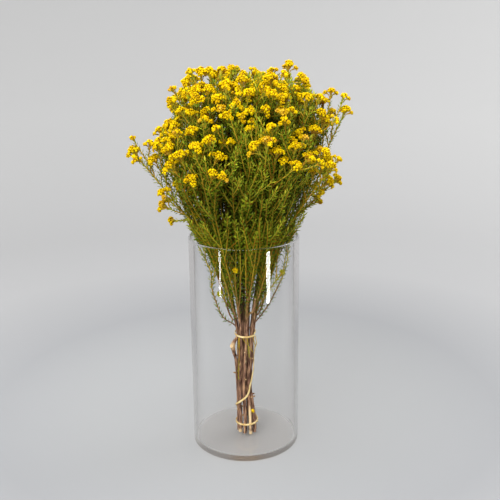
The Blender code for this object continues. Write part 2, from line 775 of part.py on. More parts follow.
def band_route():
    """The band's way round the bundle, laid out flat: x is the way round and z is the height."""
    rows = []
    for middle, (start, end) in ((UPPER_TIE, UPPER_TURN), (LOWER_TIE, LOWER_TURN)):
        for step in range(BAND_TURN_STEPS + 1):
            share = step / BAND_TURN_STEPS
            rows.append((middle + BAND_PITCH * (0.5 - share), start + (end - start) * share))
        if middle == UPPER_TIE:
            rows += BAND_RUN
    return through([Vector((math.radians(turn) * BAND_UNROLL, 0.0, height)) for height, turn in rows])


def make_band():
    """An elastic band: a turn at each tie, and one run down the front between them."""
    route = band_route()
    count = round(route.length / (BAND_STEP * BAND_UNROLL))
    places = [route.at(route.length * step / count) for step in range(count + 1)]
    rows = [(place.z, math.degrees(place.x / BAND_UNROLL)) for place in places]
    centres, outs = [], []
    for height, turn in rows:
        angle = math.radians(turn - 90.0)
        out = Vector((math.cos(angle), math.sin(angle), 0.0))
        reach = (band_reach(height) + BAND_CLEAR) / math.cos(BAND_STEP / 2) + BAND_THICK / 2
        centres.append(Vector((between(BUNDLE_MIDDLE, height), 0.0, height)) + out * reach)
        outs.append(out)
    points, faces = [], []
    for index, (centre, out) in enumerate(zip(centres, outs)):
        before, after = centres[max(index - 1, 0)], centres[min(index + 1, len(centres) - 1)]
        along = (after - before).normalized()
        wide = along.cross(out).normalized() * BAND_WIDTH / 2
        thick = wide.cross(along).normalized() * BAND_THICK / 2
        points += [centre + wide + thick, centre - wide + thick,
                   centre - wide - thick, centre + wide - thick]
    for row in range(len(centres) - 1):
        for side in range(4):
            after = (side + 1) % 4
            here, there = row * 4, row * 4 + 4
            faces.append((here + side, there + side, there + after))
            faces.append((here + side, there + after, here + after))
    faces.append((0, 1, 2, 3))
    last = len(centres) * 4 - 4
    faces.append((last + 3, last + 2, last + 1, last))
    elastic = make_material("pale_elastic", ELASTIC_COLOUR, ELASTIC_ROUGHNESS)
    return make_object("binding_band", points, faces, elastic)


def make_stems():
    """Grow the twelve stems together, and give each one its closed skin."""
    draw = random.Random(SEED)
    crowd = Crowd()
    stems = []
    for index in range(OUTER_STEMS + INNER_STEMS):
        foot = STEM_FEET[index % len(STEM_FEET) if index < OUTER_STEMS else 0]
        top = draw.uniform(*STEM_TOPS)
        heights = [foot] + [height for height in STEM_STOPS if height < top - SWELLING_GAP] + [top]
        route = through([stem_place(index, height) for height in heights])
        stem = Shoot(route, None, sides=STEM_SIDES, leafy_from=None)
        stem.radii = lambda distance, index=index, foot=foot: knuckled_radius(index, foot + distance)
        stem.foot = foot
        if index == KNUCKLE_STEM:
            stem.swellings = [height - foot for height, _ in KNUCKLE]
        stem.settle(crowd)
        stems.append(stem)
    grow_low_shoots(crowd, stems)
    shoots = grow_leaders(draw, crowd, stems)
    shoots += grow_reaching_shoots(draw, crowd, stems)
    shoots += grow_shoots(draw, crowd, stems)
    grow_twigs(draw, crowd, shoots)
    plant = make_material("phylica", PLANT_COLOUR, PLANT_ROUGHNESS)
    for index, stem in enumerate(stems):
        skin = Skin()
        foot = skin.ring(stem.route.at(0.0), stem.route.heading(0.0), stem.radius(0.0), STEM_SIDES)
        for side in range(1, STEM_SIDES - 1):
            skin.faces.append((foot[0], foot[side + 1], foot[side]))
        grow_skin(skin, stem, foot, crowd)
        make_object(f"stem_{index + 1:02d}", skin.points, skin.faces, plant)


def main():
    for old in list(bpy.data.objects):
        bpy.data.objects.remove(old)
    make_vase()
    make_band()
    make_stems()


main()
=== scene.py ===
"""A bunch of yellow phylica, held by an elastic band and standing in a clear glass cylinder: its looks.

The stems grow here by the same rule, sizes and random draws as their solids, so each shoot and each
flower head stands where its solid does. Twigs, sprigs, broken pegs and wisps are then set between them,
and all of it is dressed: bark, needle leaves one by one, and heads built bud by bud.
"""

import bisect
import itertools
import logging
import math
import random
from collections.abc import Callable, Iterable
from dataclasses import dataclass, field
from enum import Enum

import bpy
import numpy as np
from mathutils import Matrix, Vector, noise

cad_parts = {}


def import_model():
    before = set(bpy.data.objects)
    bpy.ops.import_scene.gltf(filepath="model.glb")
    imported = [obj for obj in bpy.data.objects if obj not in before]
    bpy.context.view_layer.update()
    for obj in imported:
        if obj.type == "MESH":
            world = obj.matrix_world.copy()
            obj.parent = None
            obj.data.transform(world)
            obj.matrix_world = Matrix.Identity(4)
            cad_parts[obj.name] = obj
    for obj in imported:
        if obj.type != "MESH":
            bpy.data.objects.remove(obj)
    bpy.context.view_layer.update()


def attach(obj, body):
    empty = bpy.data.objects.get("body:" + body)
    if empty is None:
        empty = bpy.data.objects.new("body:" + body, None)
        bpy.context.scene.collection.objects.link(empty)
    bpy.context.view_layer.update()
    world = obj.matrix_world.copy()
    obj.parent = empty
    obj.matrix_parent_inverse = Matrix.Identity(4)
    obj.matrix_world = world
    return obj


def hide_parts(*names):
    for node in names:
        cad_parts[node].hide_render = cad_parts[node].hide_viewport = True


LOG = logging.getLogger("phylica")
Table = tuple[tuple[float, float], ...]
Place = tuple[float, float, float]

SEED = 10
BODY = "root"
UP = Vector((0.0, 0.0, 1.0))
LEFT_TIP, RIGHT_TIP = (-0.142, -0.014, 0.417), (0.133, -0.006, 0.466)


# Lines and room


def between(table: Table, key: float) -> float:
    """Read a value out of a table, straight between its rows.

    Args:
        table: Rows of (key, value), sorted by key.
        key: Where to read.

    Returns:
        The value there, or that of the nearest end.
    """
    keys = [row[0] for row in table]
    place = min(max(bisect.bisect_right(keys, key) - 1, 0), len(keys) - 2)
    low, high = table[place], table[place + 1]
    share = min(max((key - low[0]) / (high[0] - low[0]), 0.0), 1.0)
    return low[1] + (high[1] - low[1]) * share


def across(direction: Vector) -> tuple[Vector, Vector]:
    """Find two directions at right angles to the given one and to each other.

    Args:
        direction: A unit vector.

    Returns:
        Both directions, as unit vectors.
    """
    guide = Vector((1.0, 0.0, 0.0)) if abs(direction.x) < 0.75 else Vector((0.0, 1.0, 0.0))
    first = (guide - direction * guide.dot(direction)).normalized()
    return first, direction.cross(first)


class Route:
    """A smooth line through space that can be read at any distance along it."""

    STEP = 0.0055
    REACH = 0.003

    def __init__(self, points: list[Vector]) -> None:
        """Take the points, and measure the way along them."""
        self.points = points
        self.marks = [0.0]
        for before, after in zip(points, points[1:]):
            self.marks.append(self.marks[-1] + (after - before).length)
        self.length = self.marks[-1]

    def at(self, distance: float) -> Vector:
        """Give the place at a distance, carried straight on past either end."""
        span = min(max(bisect.bisect_right(self.marks, distance) - 1, 0), len(self.points) - 2)
        share = (distance - self.marks[span]) / (self.marks[span + 1] - self.marks[span])
        return self.points[span].lerp(self.points[span + 1], share)

    def heading(self, distance: float) -> Vector:
        """Give the direction of travel at a distance."""
        return (self.at(distance + self.REACH) - self.at(distance - self.REACH)).normalized()

    def spans(self, span: float) -> list[tuple[Vector, Vector, float]]:
        """Cut the route into straight pieces.

        Args:
            span: About how long a piece is.

        Returns:
            Each piece's start, end and distance from the root.
        """
        count = max(2, round(self.length / span))
        marks = [self.length * index / count for index in range(count + 1)]
        return [(self.at(low), self.at(high), low) for low, high in zip(marks, marks[1:])]


def curve(start: Vector, leaving: Vector, end: Vector, arriving: Vector, out: float, into: float) -> Route:
    """Draw a route that leaves one point and arrives at another in the given directions.

    Args:
        start: The first point.
        leaving: The unit vector of travel there.
        end: The last point.
        arriving: The unit vector of travel there.
        out: Handle length at the start.
        into: Handle length at the end.

    Returns:
        The route.
    """
    first, last = start + leaving * out, end - arriving * into
    points = []
    steps = max(6, round((end - start).length / Route.STEP))
    for step in range(steps + 1):
        t = step / steps
        points.append(start * (1 - t) ** 3 + first * 3 * t * (1 - t) ** 2
                      + last * 3 * t * t * (1 - t) + end * t ** 3)
    return Route(points)


def through(points: list[Vector]) -> Route:
    """Draw a route that passes smoothly through the given points.

    Args:
        points: Two or more places.

    Returns:
        The route.
    """
    ends = [points[0] * 2 - points[1]] + points + [points[-1] * 2 - points[-2]]
    smooth = []
    for before, low, high, after in zip(ends, ends[1:], ends[2:], ends[3:]):
        steps = max(2, round((high - low).length / Route.STEP))
        for step in range(steps):
            t = step / steps
            smooth.append((low * 2 + (high - before) * t + (before * 2 - low * 5 + high * 4 - after) * t * t
                           + (low * 3 - before - high * 3 + after) * t ** 3) / 2)
    return Route(smooth + [points[-1]])


class Crowd:
    """Everything that has grown so far, as straight rods with a radius and an owner."""

    def __init__(self) -> None:
        """Start with nothing grown."""
        self.rods = np.zeros((0, 8))

    def add(self, start: Vector, end: Vector, radius: float, owner: float) -> None:
        """Take the room of one rod."""
        self.rods = np.vstack([self.rods, [*start, *end, radius, owner]])

    def room(self, start: Vector, end: Vector, skip: Iterable[float] = ()) -> float:
        """Measure the smallest distance from a line to the skin of any rod.

        Args:
            start: One end of the line.
            end: The other end.
            skip: Owners whose rods don't count.

        Returns:
            The distance, or one metre where there is no rod.
        """
        rods = self.rods[~np.isin(self.rods[:, 7], list(skip))]
        if not len(rods):
            return 1.0
        line = np.array(end - start)
        starts, lines = rods[:, :3], rods[:, 3:6] - rods[:, :3]
        offset = np.array(start) - starts
        own = line @ line
        theirs = np.maximum((lines * lines).sum(1), 1e-12)
        along, beside = lines @ line, (lines * offset).sum(1)
        back = offset @ line
        spread = np.maximum(own * theirs - along * along, 1e-16)
        mine = np.clip((along * beside - back * theirs) / spread, 0, 1)
        other = np.clip((along * mine + beside) / theirs, 0, 1)
        mine = np.clip((along * other - back) / own, 0, 1)
        gaps = offset + mine[:, None] * line - other[:, None] * lines
        return float((np.sqrt((gaps * gaps).sum(1)) - rods[:, 6]).min())


# Sizes of the bunch


@dataclass(frozen=True)
class GlassForm:
    """Sizes of the straight glass cylinder, in metres."""

    radius: float = 0.075
    height: float = 0.300
    wall: float = 0.003
    floor: float = 0.007
    heel: float = 0.004
    clear: float = 0.0020

    def holds(self, place: Vector, reach: float) -> bool:
        """Tell whether a ball stays inside the glass, or wholly above its lip.

        Args:
            place: The ball's middle.
            reach: Its radius.

        Returns:
            True where it touches no glass.
        """
        if place.z > self.height + reach + self.clear:
            return True
        return math.hypot(place.x, place.y) + reach + self.clear < self.radius - self.wall


@dataclass(frozen=True)
class BundleForm:
    """Where the twelve cut stems stand, nine of them round three, and how thick they are."""

    outer: int = 9
    inner: int = 3
    inner_ring: float = 0.298
    inner_turn: float = math.radians(20)
    twist: float = math.radians(26)
    feet: tuple[float, ...] = (0.0073, 0.0080, 0.0088, 0.0095)
    lower_tie: float = 0.023
    waist: float = 0.079
    upper_tie: float = 0.156
    tops: tuple[float, float] = (0.235, 0.300)
    top_radius: float = 0.0016
    radii: tuple[float, ...] = (0.0025, 0.0024, 0.0022)
    foot_swell: float = 1.20
    stops: tuple[float, ...] = (0.023, 0.050, 0.079, 0.118, 0.139, 0.156, 0.180, 0.210, 0.240, 0.270)
    stop_gap: float = 0.008
    outline: Table = ((0.0, 0.0146), (0.023, 0.0146), (0.079, 0.0112), (0.156, 0.0134),
                      (0.200, 0.0205), (0.250, 0.0330), (0.300, 0.0480), (0.340, 0.0620))
    middle: Table = ((0.0, 0.0016), (0.023, 0.0014), (0.079, -0.0018), (0.156, 0.0004), (0.340, 0.0))
    knuckle_stem: int = 5
    knuckle: Table = ((0.120, 0.0), (0.131, 0.0007), (0.139, 0.0016), (0.145, 0.0007), (0.151, 0.0))
    lean: Table = ((0.060, 0.0), (0.100, 0.0016), (0.128, 0.0042), (0.139, 0.0046), (0.147, 0.0020),
                   (0.151, 0.0))

    @property
    def count(self) -> int:
        """Count the stems."""
        return self.outer + self.inner

    def azimuth(self, index: int) -> float:
        """Give the way that a stem stands from the bundle's middle, above the upper tie."""
        if index < self.outer:
            return math.tau * index / self.outer
        return math.tau * (index - self.outer) / self.inner + self.inner_turn

    def foot(self, index: int) -> float:
        """Give the height of a stem's cut foot."""
        return self.feet[index % len(self.feet) if index < self.outer else 0]

    def radius(self, index: int, height: float) -> float:
        """Give a stem's thickness at a height, without its knuckle."""
        size = self.radii[index % len(self.radii)]
        foot = size * self.foot_swell
        rows = ((0.0, foot), (self.lower_tie, foot), (self.waist, size), (self.upper_tie, size),
                (self.tops[1], self.top_radius))
        return between(rows, height)

    def knuckled(self, index: int, height: float) -> float:
        """Give a stem's thickness at a height, with its knuckle where it has one."""
        extra = between(self.knuckle, height) if index == self.knuckle_stem else 0.0
        return self.radius(index, height) + extra

    def place(self, index: int, height: float) -> Vector:
        """Find the middle of a stem.

        Args:
            index: Which stem.
            height: Height above the table.

        Returns:
            The place.
        """
        angle = self.azimuth(index) + self.twist * min(height / self.upper_tie - 1.0, 0.0)
        reach = between(self.outline, height)
        if index < self.outer:
            reach -= self.radius(index, height)
            if index == self.knuckle_stem:
                reach += between(self.knuckle, height) * 2
        else:
            reach *= self.inner_ring
        middle = between(self.middle, height)
        return Vector((middle + reach * math.cos(angle), reach * math.sin(angle), height))

    def leant(self, index: int, place: Vector) -> Vector:
        """Move a place on a stem's line out where the knuckled stem leans away from the bundle."""
        if index != self.knuckle_stem:
            return place
        out = Vector((place.x - between(self.middle, place.z), place.y, 0.0)).normalized()
        return place + out * between(self.lean, place.z)


@dataclass(frozen=True)
class CrownForm:
    """How far the heads stand from the bunch's middle, where tips are tried, and where shade is painted."""

    outline: Table = ((0.300, 0.068), (0.320, 0.085), (0.342, 0.105), (0.365, 0.116), (0.400, 0.116),
                      (0.457, 0.113), (0.480, 0.105), (0.503, 0.088), (0.514, 0.062), (0.522, 0.032),
                      (0.525, 0.0))
    shoulder: float = 0.450
    lowest_tips: Table = ((0.0, 0.352), (90.0, 0.350), (170.0, 0.372), (215.0, 0.395), (250.0, 0.425),
                          (310.0, 0.425), (345.0, 0.375), (360.0, 0.352))
    side_tip_range: float = 0.070
    side_share: tuple[float, float] = (0.86, 0.98)
    inner_reach: float = 0.056
    inner_depth: float = 0.035
    inner_swing: float = 1.0
    outer_reach: tuple[float, float] = (0.050, 0.112)
    outer_depth: float = 0.050
    outer_swing: float = 0.33
    waist: Table = ((0.156, 0.012), (0.190, 0.017), (0.210, 0.023), (0.240, 0.032), (0.270, 0.043),
                    (0.300, 0.060))
    # Painted shade: none on this outer share of the width, growing to full over the next share, then scaled
    # by height.
    lit_share: float = 0.09
    dark_share: float = 0.42
    shade_gain: Table = ((0.295, 1.6), (0.325, 1.0), (0.400, 1.0), (0.490, 0.45))

    def top(self, reach: float) -> float:
        """Give the height of the crown's outline above a distance from its middle."""
        rows = sorted((row[1], row[0]) for row in self.outline if row[0] > self.shoulder)
        return between(tuple(rows), reach)

    def holds(self, place: Vector) -> bool:
        """Tell whether a place lies inside the crown's outline."""
        return math.hypot(place.x, place.y) < between(self.outline, place.z) and place.z < self.top(0.0)

    def depth(self, place: Vector) -> float:
        """Tell how far inside the bunch a place lies, from nought at its outside to one well within; the same
        share sets the painted shade, stronger just above the rim and weaker towards the top, where the light
        falls.
        """
        reach = math.hypot(place.x, place.y)
        width = between(self.outline if place.z > self.outline[0][0] else self.waist, place.z)
        roof = self.top(reach) - place.z if place.z > self.shoulder else width
        share = (min(width - reach, roof) / width - self.lit_share) / self.dark_share
        gain = between(self.shade_gain, place.z)
        return min(max(share, 0.0) * gain, gain, 1.0)

    def tip(self, draw: random.Random, bundle: BundleForm, index: int, low: bool) -> Vector:
        """Draw a place for the head at a shoot's tip, on the stem's own side of the crown.

        Args:
            draw: The run of random numbers.
            bundle: The bundle, for the stem's side.
            index: Which stem.
            low: Whether the tip is one of the crown's lower side.

        Returns:
            The place.
        """
        angle = bundle.azimuth(index)
        if index >= bundle.outer:
            angle += draw.uniform(-self.inner_swing, self.inner_swing)
            reach = self.inner_reach * math.sqrt(draw.random())
            height = self.top(reach) - self.inner_depth * draw.random() ** 2
        else:
            angle += draw.uniform(-self.outer_swing, self.outer_swing)
            if low:
                lowest = between(self.lowest_tips, math.degrees(angle) % 360.0)
                height = lowest + draw.uniform(0.0, self.side_tip_range)
                reach = between(self.outline, height) * draw.uniform(*self.side_share)
            else:
                reach = draw.uniform(*self.outer_reach)
                height = self.top(reach) - self.outer_depth * draw.random() ** 2
        return Vector((reach * math.cos(angle), reach * math.sin(angle), height))


GLASS = GlassForm()
BUNDLE = BundleForm()
CROWN = CrownForm()


# Growth


class Kind(Enum):
    """What a grown line is."""

    STEM = "stem"
    SHOOT = "shoot"
    TWIG = "twig"
    STUB = "stub"
    SPRIG = "sprig"
    WISP = "wisp"


SPAN = 0.008
FIRST_SPANS = 1.5
HEAD_SEAT = 0.8
HEAD_CLEAR = 0.0007
WOOD_CLEAR = 0.0018
DOT = Vector((0.0, 0.0, 0.0001))
QUARTERS = (0.25, 0.5, 0.75, 1.0)
owners = itertools.count(1)


@dataclass
class Head:
    """One domed flower head: the middle and direction of its dome, and how far it reaches."""

    middle: Vector
    aim: Vector
    reach: float


@dataclass
class Shoot:
    """A stem, shoot, twig, stub, sprig or wisp: its line, its thickness and what ends it."""

    kind: Kind
    route: Route
    radii: tuple[float, float] | Callable[[float], float]
    leafy_from: float | None = 0.0
    head: float = 0.0
    bunch: list[Head] = field(default_factory=list)
    forks: list[tuple[float, "Shoot"]] = field(default_factory=list)
    leader: "Shoot | None" = None
    foot: float = 0.0
    owner: int = field(default_factory=lambda: next(owners))

    def radius(self, distance: float) -> float:
        """Give the thickness at a distance from the root."""
        if callable(self.radii):
            return self.radii(distance)
        return self.radii[0] + (self.radii[1] - self.radii[0]) * distance / self.route.length

    def head_middle(self) -> Vector:
        """Give the middle of the flower head."""
        end = self.route.length
        return self.route.at(end) + self.route.heading(end) * self.head * HEAD_SEAT

    def fits(self, crowd: Crowd, parent: "Shoot", clear: float = WOOD_CLEAR) -> bool:
        """Tell whether the shoot and its head pass clear of all that has grown.

        Args:
            crowd: What has grown.
            parent: What carries the shoot, which its root may touch.
            clear: The least distance between skins.

        Returns:
            True where it fits.
        """
        for start, end, distance in self.route.spans(SPAN):
            skip = (parent.owner,) if distance < SPAN * FIRST_SPANS else ()
            if crowd.room(start, end, skip) < self.radius(distance) + clear:
                return False
            if not all(GLASS.holds(start.lerp(end, share), self.radius(distance)) for share in QUARTERS):
                return False
        middle = self.head_middle()
        if not GLASS.holds(middle, self.head):
            return False
        return not self.head or crowd.room(middle, middle + DOT) > self.head + HEAD_CLEAR

    def settle(self, crowd: Crowd, parent: "Shoot | None" = None, distance: float = 0.0) -> "Shoot":
        """Take the shoot's room in the crowd, and its place on what carries it.

        Args:
            crowd: What has grown.
            parent: What carries the shoot.
            distance: How far along the parent it forks off.

        Returns:
            The shoot itself.
        """
        for start, end, along in self.route.spans(SPAN):
            crowd.add(start, end, self.radius(along), self.owner)
        if self.head:
            middle = self.head_middle()
            crowd.add(middle, middle + DOT, self.head, -self.owner)
        if parent:
            parent.forks.append((distance, self))
        return self

    def family(self) -> list["Shoot"]:
        """List the shoot and all that grows out of it."""
        grown = [self]
        for _, child in self.forks:
            grown += child.family()
        if self.leader:
            grown += self.leader.family()
        return grown


BUD_HEAD = 0.0052
LowRow = tuple[int, float, tuple[Place, ...], float]


@dataclass(frozen=True)
class GrowthRule:
    """The numbers that the bunch grows by, the same as for its solids."""

    trials: int = 700
    shoot_radii: tuple[float, float] = (0.0014, 0.0010)
    twig_radii: tuple[float, float] = (0.0011, 0.0009)
    stub_radii: tuple[float, float] = (0.0016, 0.0015)
    head_radii: tuple[float, float] = (0.0070, 0.0085)
    outer_shoots: int = 3
    inner_shoots: int = 2
    twigs: tuple[int, ...] = (2, 3, 3)
    first_fork: float = 0.178
    fork_rise: float = 0.016
    fork_range: float = 0.050
    fork_gap: float = 0.011
    twig_roots: tuple[float, float] = (0.014, 0.075)
    twig_spread: tuple[float, float] = (0.015, 0.034)
    twig_reach: tuple[float, float] = (0.55, 1.15)
    twig_gap: float = 0.006
    shoot_lean: float = math.radians(32)
    twig_lean: float = math.radians(40)
    shoot_lift: float = 0.35
    twig_lift: float = 0.20
    handle: float = 0.022
    handle_share: float = 0.3
    leaving_step: float = 0.012
    rim_pass: float = 0.306
    rim_reach: float = 0.060
    shoot_leafy: float = 0.012
    leader_leafy: float = 0.006
    low_start: float = 0.008
    low_leafy: float = 0.020
    leader_tips: tuple[tuple[int, Place], ...] = ((9, (0.060, 0.004, 0.522)),)
    reaching_tips: tuple[tuple[int, Place], ...] = (
        (5, LEFT_TIP), (0, RIGHT_TIP), (0, (0.129, 0.032, 0.370)),
        (4, (-0.100, 0.036, 0.314)), (5, (-0.104, -0.037, 0.366)), (1, (0.104, 0.048, 0.336)),
        (8, (0.110, -0.054, 0.402)))
    low_shoots: tuple[LowRow, ...] = (
        (5, 0.166, ((-0.032, -0.009, 0.185), (-0.045, -0.012, 0.225), (-0.046, -0.012, 0.248),
                    (-0.062, -0.012, 0.284)), 0.0),
        (0, 0.170, ((0.035, -0.002, 0.199), (0.057, -0.002, 0.245), (0.064, 0.004, 0.277)), 0.0),
        (8, 0.190, ((0.032, -0.020, 0.222), (0.049, -0.026, 0.249)), BUD_HEAD),
        (5, 0.190, ((-0.024, -0.018, 0.205), (-0.031, -0.024, 0.219)), BUD_HEAD),
        (6, 0.206, ((-0.012, -0.031, 0.235), (-0.012, -0.040, 0.257)), BUD_HEAD))
    stubs: tuple[tuple[int, float, tuple[Place, ...]], ...] = (
        (7, 0.186, ((0.012, -0.022, 0.197), (0.0143, -0.026, 0.215))),)


class Growth:
    """Grows the whole bunch, in the order that its solids were grown in."""

    def __init__(self, rule: GrowthRule) -> None:
        """Take the rule, and start with nothing grown."""
        self.rule = rule
        self.draw = random.Random(SEED)
        self.crowd = Crowd()
        self.stems: list[Shoot] = []

    def grow(self) -> list[Shoot]:
        """Grow the stems, shoots and twigs.

        Returns:
            The twelve stems, each with all that grows out of it.
        """
        for index in range(BUNDLE.count):
            self.stems.append(self.cut_stem(index))
        self.grow_low_shoots()
        shoots = self.grow_leaders()
        for index, tip in self.rule.reaching_tips:
            turn = len(self.stems[index].forks) % self.rule.outer_shoots
            shoots += self.grow_shoot(index, turn, Vector(tip))
        for turn in range(self.rule.outer_shoots):
            for index in range(BUNDLE.count):
                if index < BUNDLE.outer or turn < self.rule.inner_shoots:
                    shoots += self.grow_shoot(index, turn)
        for shoot in shoots:
            self.grow_twigs(shoot)
        return self.stems

    def cut_stem(self, index: int) -> Shoot:
        """Stand one cut stem in the bundle.

        Args:
            index: Which stem.

        Returns:
            The stem.
        """
        foot = BUNDLE.foot(index)
        top = self.draw.uniform(*BUNDLE.tops)
        heights = [foot] + [stop for stop in BUNDLE.stops if stop < top - BUNDLE.stop_gap] + [top]
        route = through([BUNDLE.place(index, height) for height in heights])
        stem = Shoot(Kind.STEM, route, lambda distance: BUNDLE.knuckled(index, foot + distance), None)
        stem.foot = foot
        return stem.settle(self.crowd)

    def low_shoot(self, row: LowRow, kind: Kind, radii: tuple[float, float], leafy: float | None) -> None:
        """Set one side shoot or stub inside the glass, along its own points.

        Args:
            row: The stem, the fork's height, the points on the way and the head's radius.
            kind: What it is.
            radii: Its thickness at both ends.
            leafy: Where its leaves start, or None where it is bare.
        """
        index, height, points, head = row
        stem = self.stems[index]
        distance = height - stem.foot
        start, along = stem.route.at(distance), stem.route.heading(distance)
        aim = Vector(points[0]) - start
        side = (aim - along * aim.dot(along)).normalized()
        leaving = along * math.cos(self.rule.shoot_lean) + side * math.sin(self.rule.shoot_lean)
        way = [start, start + leaving * self.rule.low_start] + [Vector(point) for point in points]
        Shoot(kind, through(way), radii, leafy, head).settle(self.crowd, stem, distance)

    def grow_low_shoots(self) -> None:
        """Set the side shoots, buds and cut stubs that stand inside the glass."""
        for row in self.rule.low_shoots:
            self.low_shoot(row, Kind.TWIG, self.rule.twig_radii, self.rule.low_leafy)
        for index, height, points in self.rule.stubs:
            self.low_shoot((index, height, points, 0.0), Kind.STUB, self.rule.stub_radii, None)

    def grow_leaders(self) -> list[Shoot]:
        """Carry each stem on from its top as a leafy shoot of its own.

        Returns:
            The leading shoots.
        """
        rule, leaders, fixed = self.rule, [], dict(self.rule.leader_tips)
        for index in sorted(range(BUNDLE.count), key=lambda index: index not in fixed):
            stem = self.stems[index]
            end = stem.route.length
            start, along = stem.route.at(end), stem.route.heading(end)
            for _ in range(rule.trials):
                tip = Vector(fixed[index]) if index in fixed else CROWN.tip(self.draw, BUNDLE, index, False)
                head = self.draw.uniform(*rule.head_radii)
                aim = tip - start
                arriving = (aim.normalized() + Vector((0.0, 0.0, rule.shoot_lift))).normalized()
                foot = tip - arriving * head * HEAD_SEAT
                handle = aim.length * rule.handle_share
                route = curve(start, along, foot, arriving, handle, handle)
                radii = (BUNDLE.top_radius, rule.shoot_radii[1])
                leader = Shoot(Kind.SHOOT, route, radii, rule.leader_leafy, head)
                if leader.fits(self.crowd, stem):
                    stem.leader = leader.settle(self.crowd)
                    leaders.append(leader)
                    break
        return leaders

    def forked(self, parent: Shoot, distance: float, tip: Vector, kind: Kind, head: float) -> Shoot:
        """Draw a shoot that leaves its parent at an angle and turns upwards to its tip.

        Args:
            parent: What carries it.
            distance: How far along the parent it forks off.
            tip: Where its head stands.
            kind: Shoot or twig.
            head: The head's radius.

        Returns:
            The shoot, not yet settled.
        """
        rule = self.rule
        if kind is Kind.SHOOT:
            lean, radii, lift = rule.shoot_lean, rule.shoot_radii, rule.shoot_lift
        else:
            lean, radii, lift = rule.twig_lean, rule.twig_radii, rule.twig_lift
        start, along = parent.route.at(distance), parent.route.heading(distance)
        aim = tip - start
        side = (aim - along * aim.dot(along)).normalized()
        leaving = along * math.cos(lean) + side * math.sin(lean)
        arriving = (aim.normalized() + Vector((0.0, 0.0, lift))).normalized()
        end = tip - arriving * head * HEAD_SEAT
        handle = min(rule.handle, aim.length * rule.handle_share)
        pass_share = (rule.rim_pass - start.z) / aim.z if aim.z > 0.0 else 0.0
        crossing = start + aim * pass_share
        reach = math.hypot(crossing.x, crossing.y)
        if 0.0 < pass_share < 1.0 and reach > rule.rim_reach:
            crossing.xy = crossing.xy * (rule.rim_reach / reach)
            end = tip - (tip - crossing).normalized() * head * HEAD_SEAT
            route = through([start, start + leaving * rule.leaving_step, crossing, end])
        else:
            route = curve(start, leaving, end, arriving, handle, aim.length * rule.handle_share)
        return Shoot(kind, route, radii, rule.shoot_leafy, head)

    def grow_shoot(self, index: int, turn: int, tip: Vector | None = None) -> list[Shoot]:
        """Fork one leafy shoot off a stem, to a given tip or to places that are tried until one fits.

        Args:
            index: Which stem.
            turn: How many shoots the stem was given before.
            tip: Where the head stands, or None.

        Returns:
            The shoot, or nothing where none fits.
        """
        rule, stem = self.rule, self.stems[index]
        low = rule.first_fork + rule.fork_rise * turn - stem.foot
        for _ in range(rule.trials):
            high = min(low + rule.fork_range, stem.route.length - rule.fork_gap)
            distance = self.draw.uniform(low, high)
            if any(abs(distance - other[0]) < rule.fork_gap for other in stem.forks):
                continue
            end = tip or CROWN.tip(self.draw, BUNDLE, index, turn == 0)
            head = self.draw.uniform(*rule.head_radii)
            shoot = self.forked(stem, distance, end, Kind.SHOOT, head)
            if shoot.fits(self.crowd, stem):
                return [shoot.settle(self.crowd, stem, distance)]
        return []

    def grow_twigs(self, shoot: Shoot) -> None:
        """Set side twigs below a shoot's tip, so that their heads stand in a loose group.

        Args:
            shoot: The shoot that carries them.
        """
        rule, draw = self.rule, self.draw
        wanted = draw.choice(rule.twigs)
        for _ in range(rule.trials):
            if len(shoot.forks) == wanted:
                break
            below = draw.uniform(*rule.twig_roots)
            distance = shoot.route.length - below
            if any(abs(distance - other[0]) < rule.twig_gap for other in shoot.forks):
                continue
            along = shoot.route.heading(distance)
            first, second = across(along)
            angle = draw.uniform(0.0, math.tau)
            side = first * math.cos(angle) + second * math.sin(angle)
            tip = shoot.route.at(distance) + along * below * draw.uniform(*rule.twig_reach)
            tip += side * draw.uniform(*rule.twig_spread)
            head = draw.uniform(*rule.head_radii)
            twig = self.forked(shoot, distance, tip, Kind.TWIG, head)
            if CROWN.holds(tip) and twig.fits(self.crowd, shoot):
                twig.settle(self.crowd, shoot, distance)


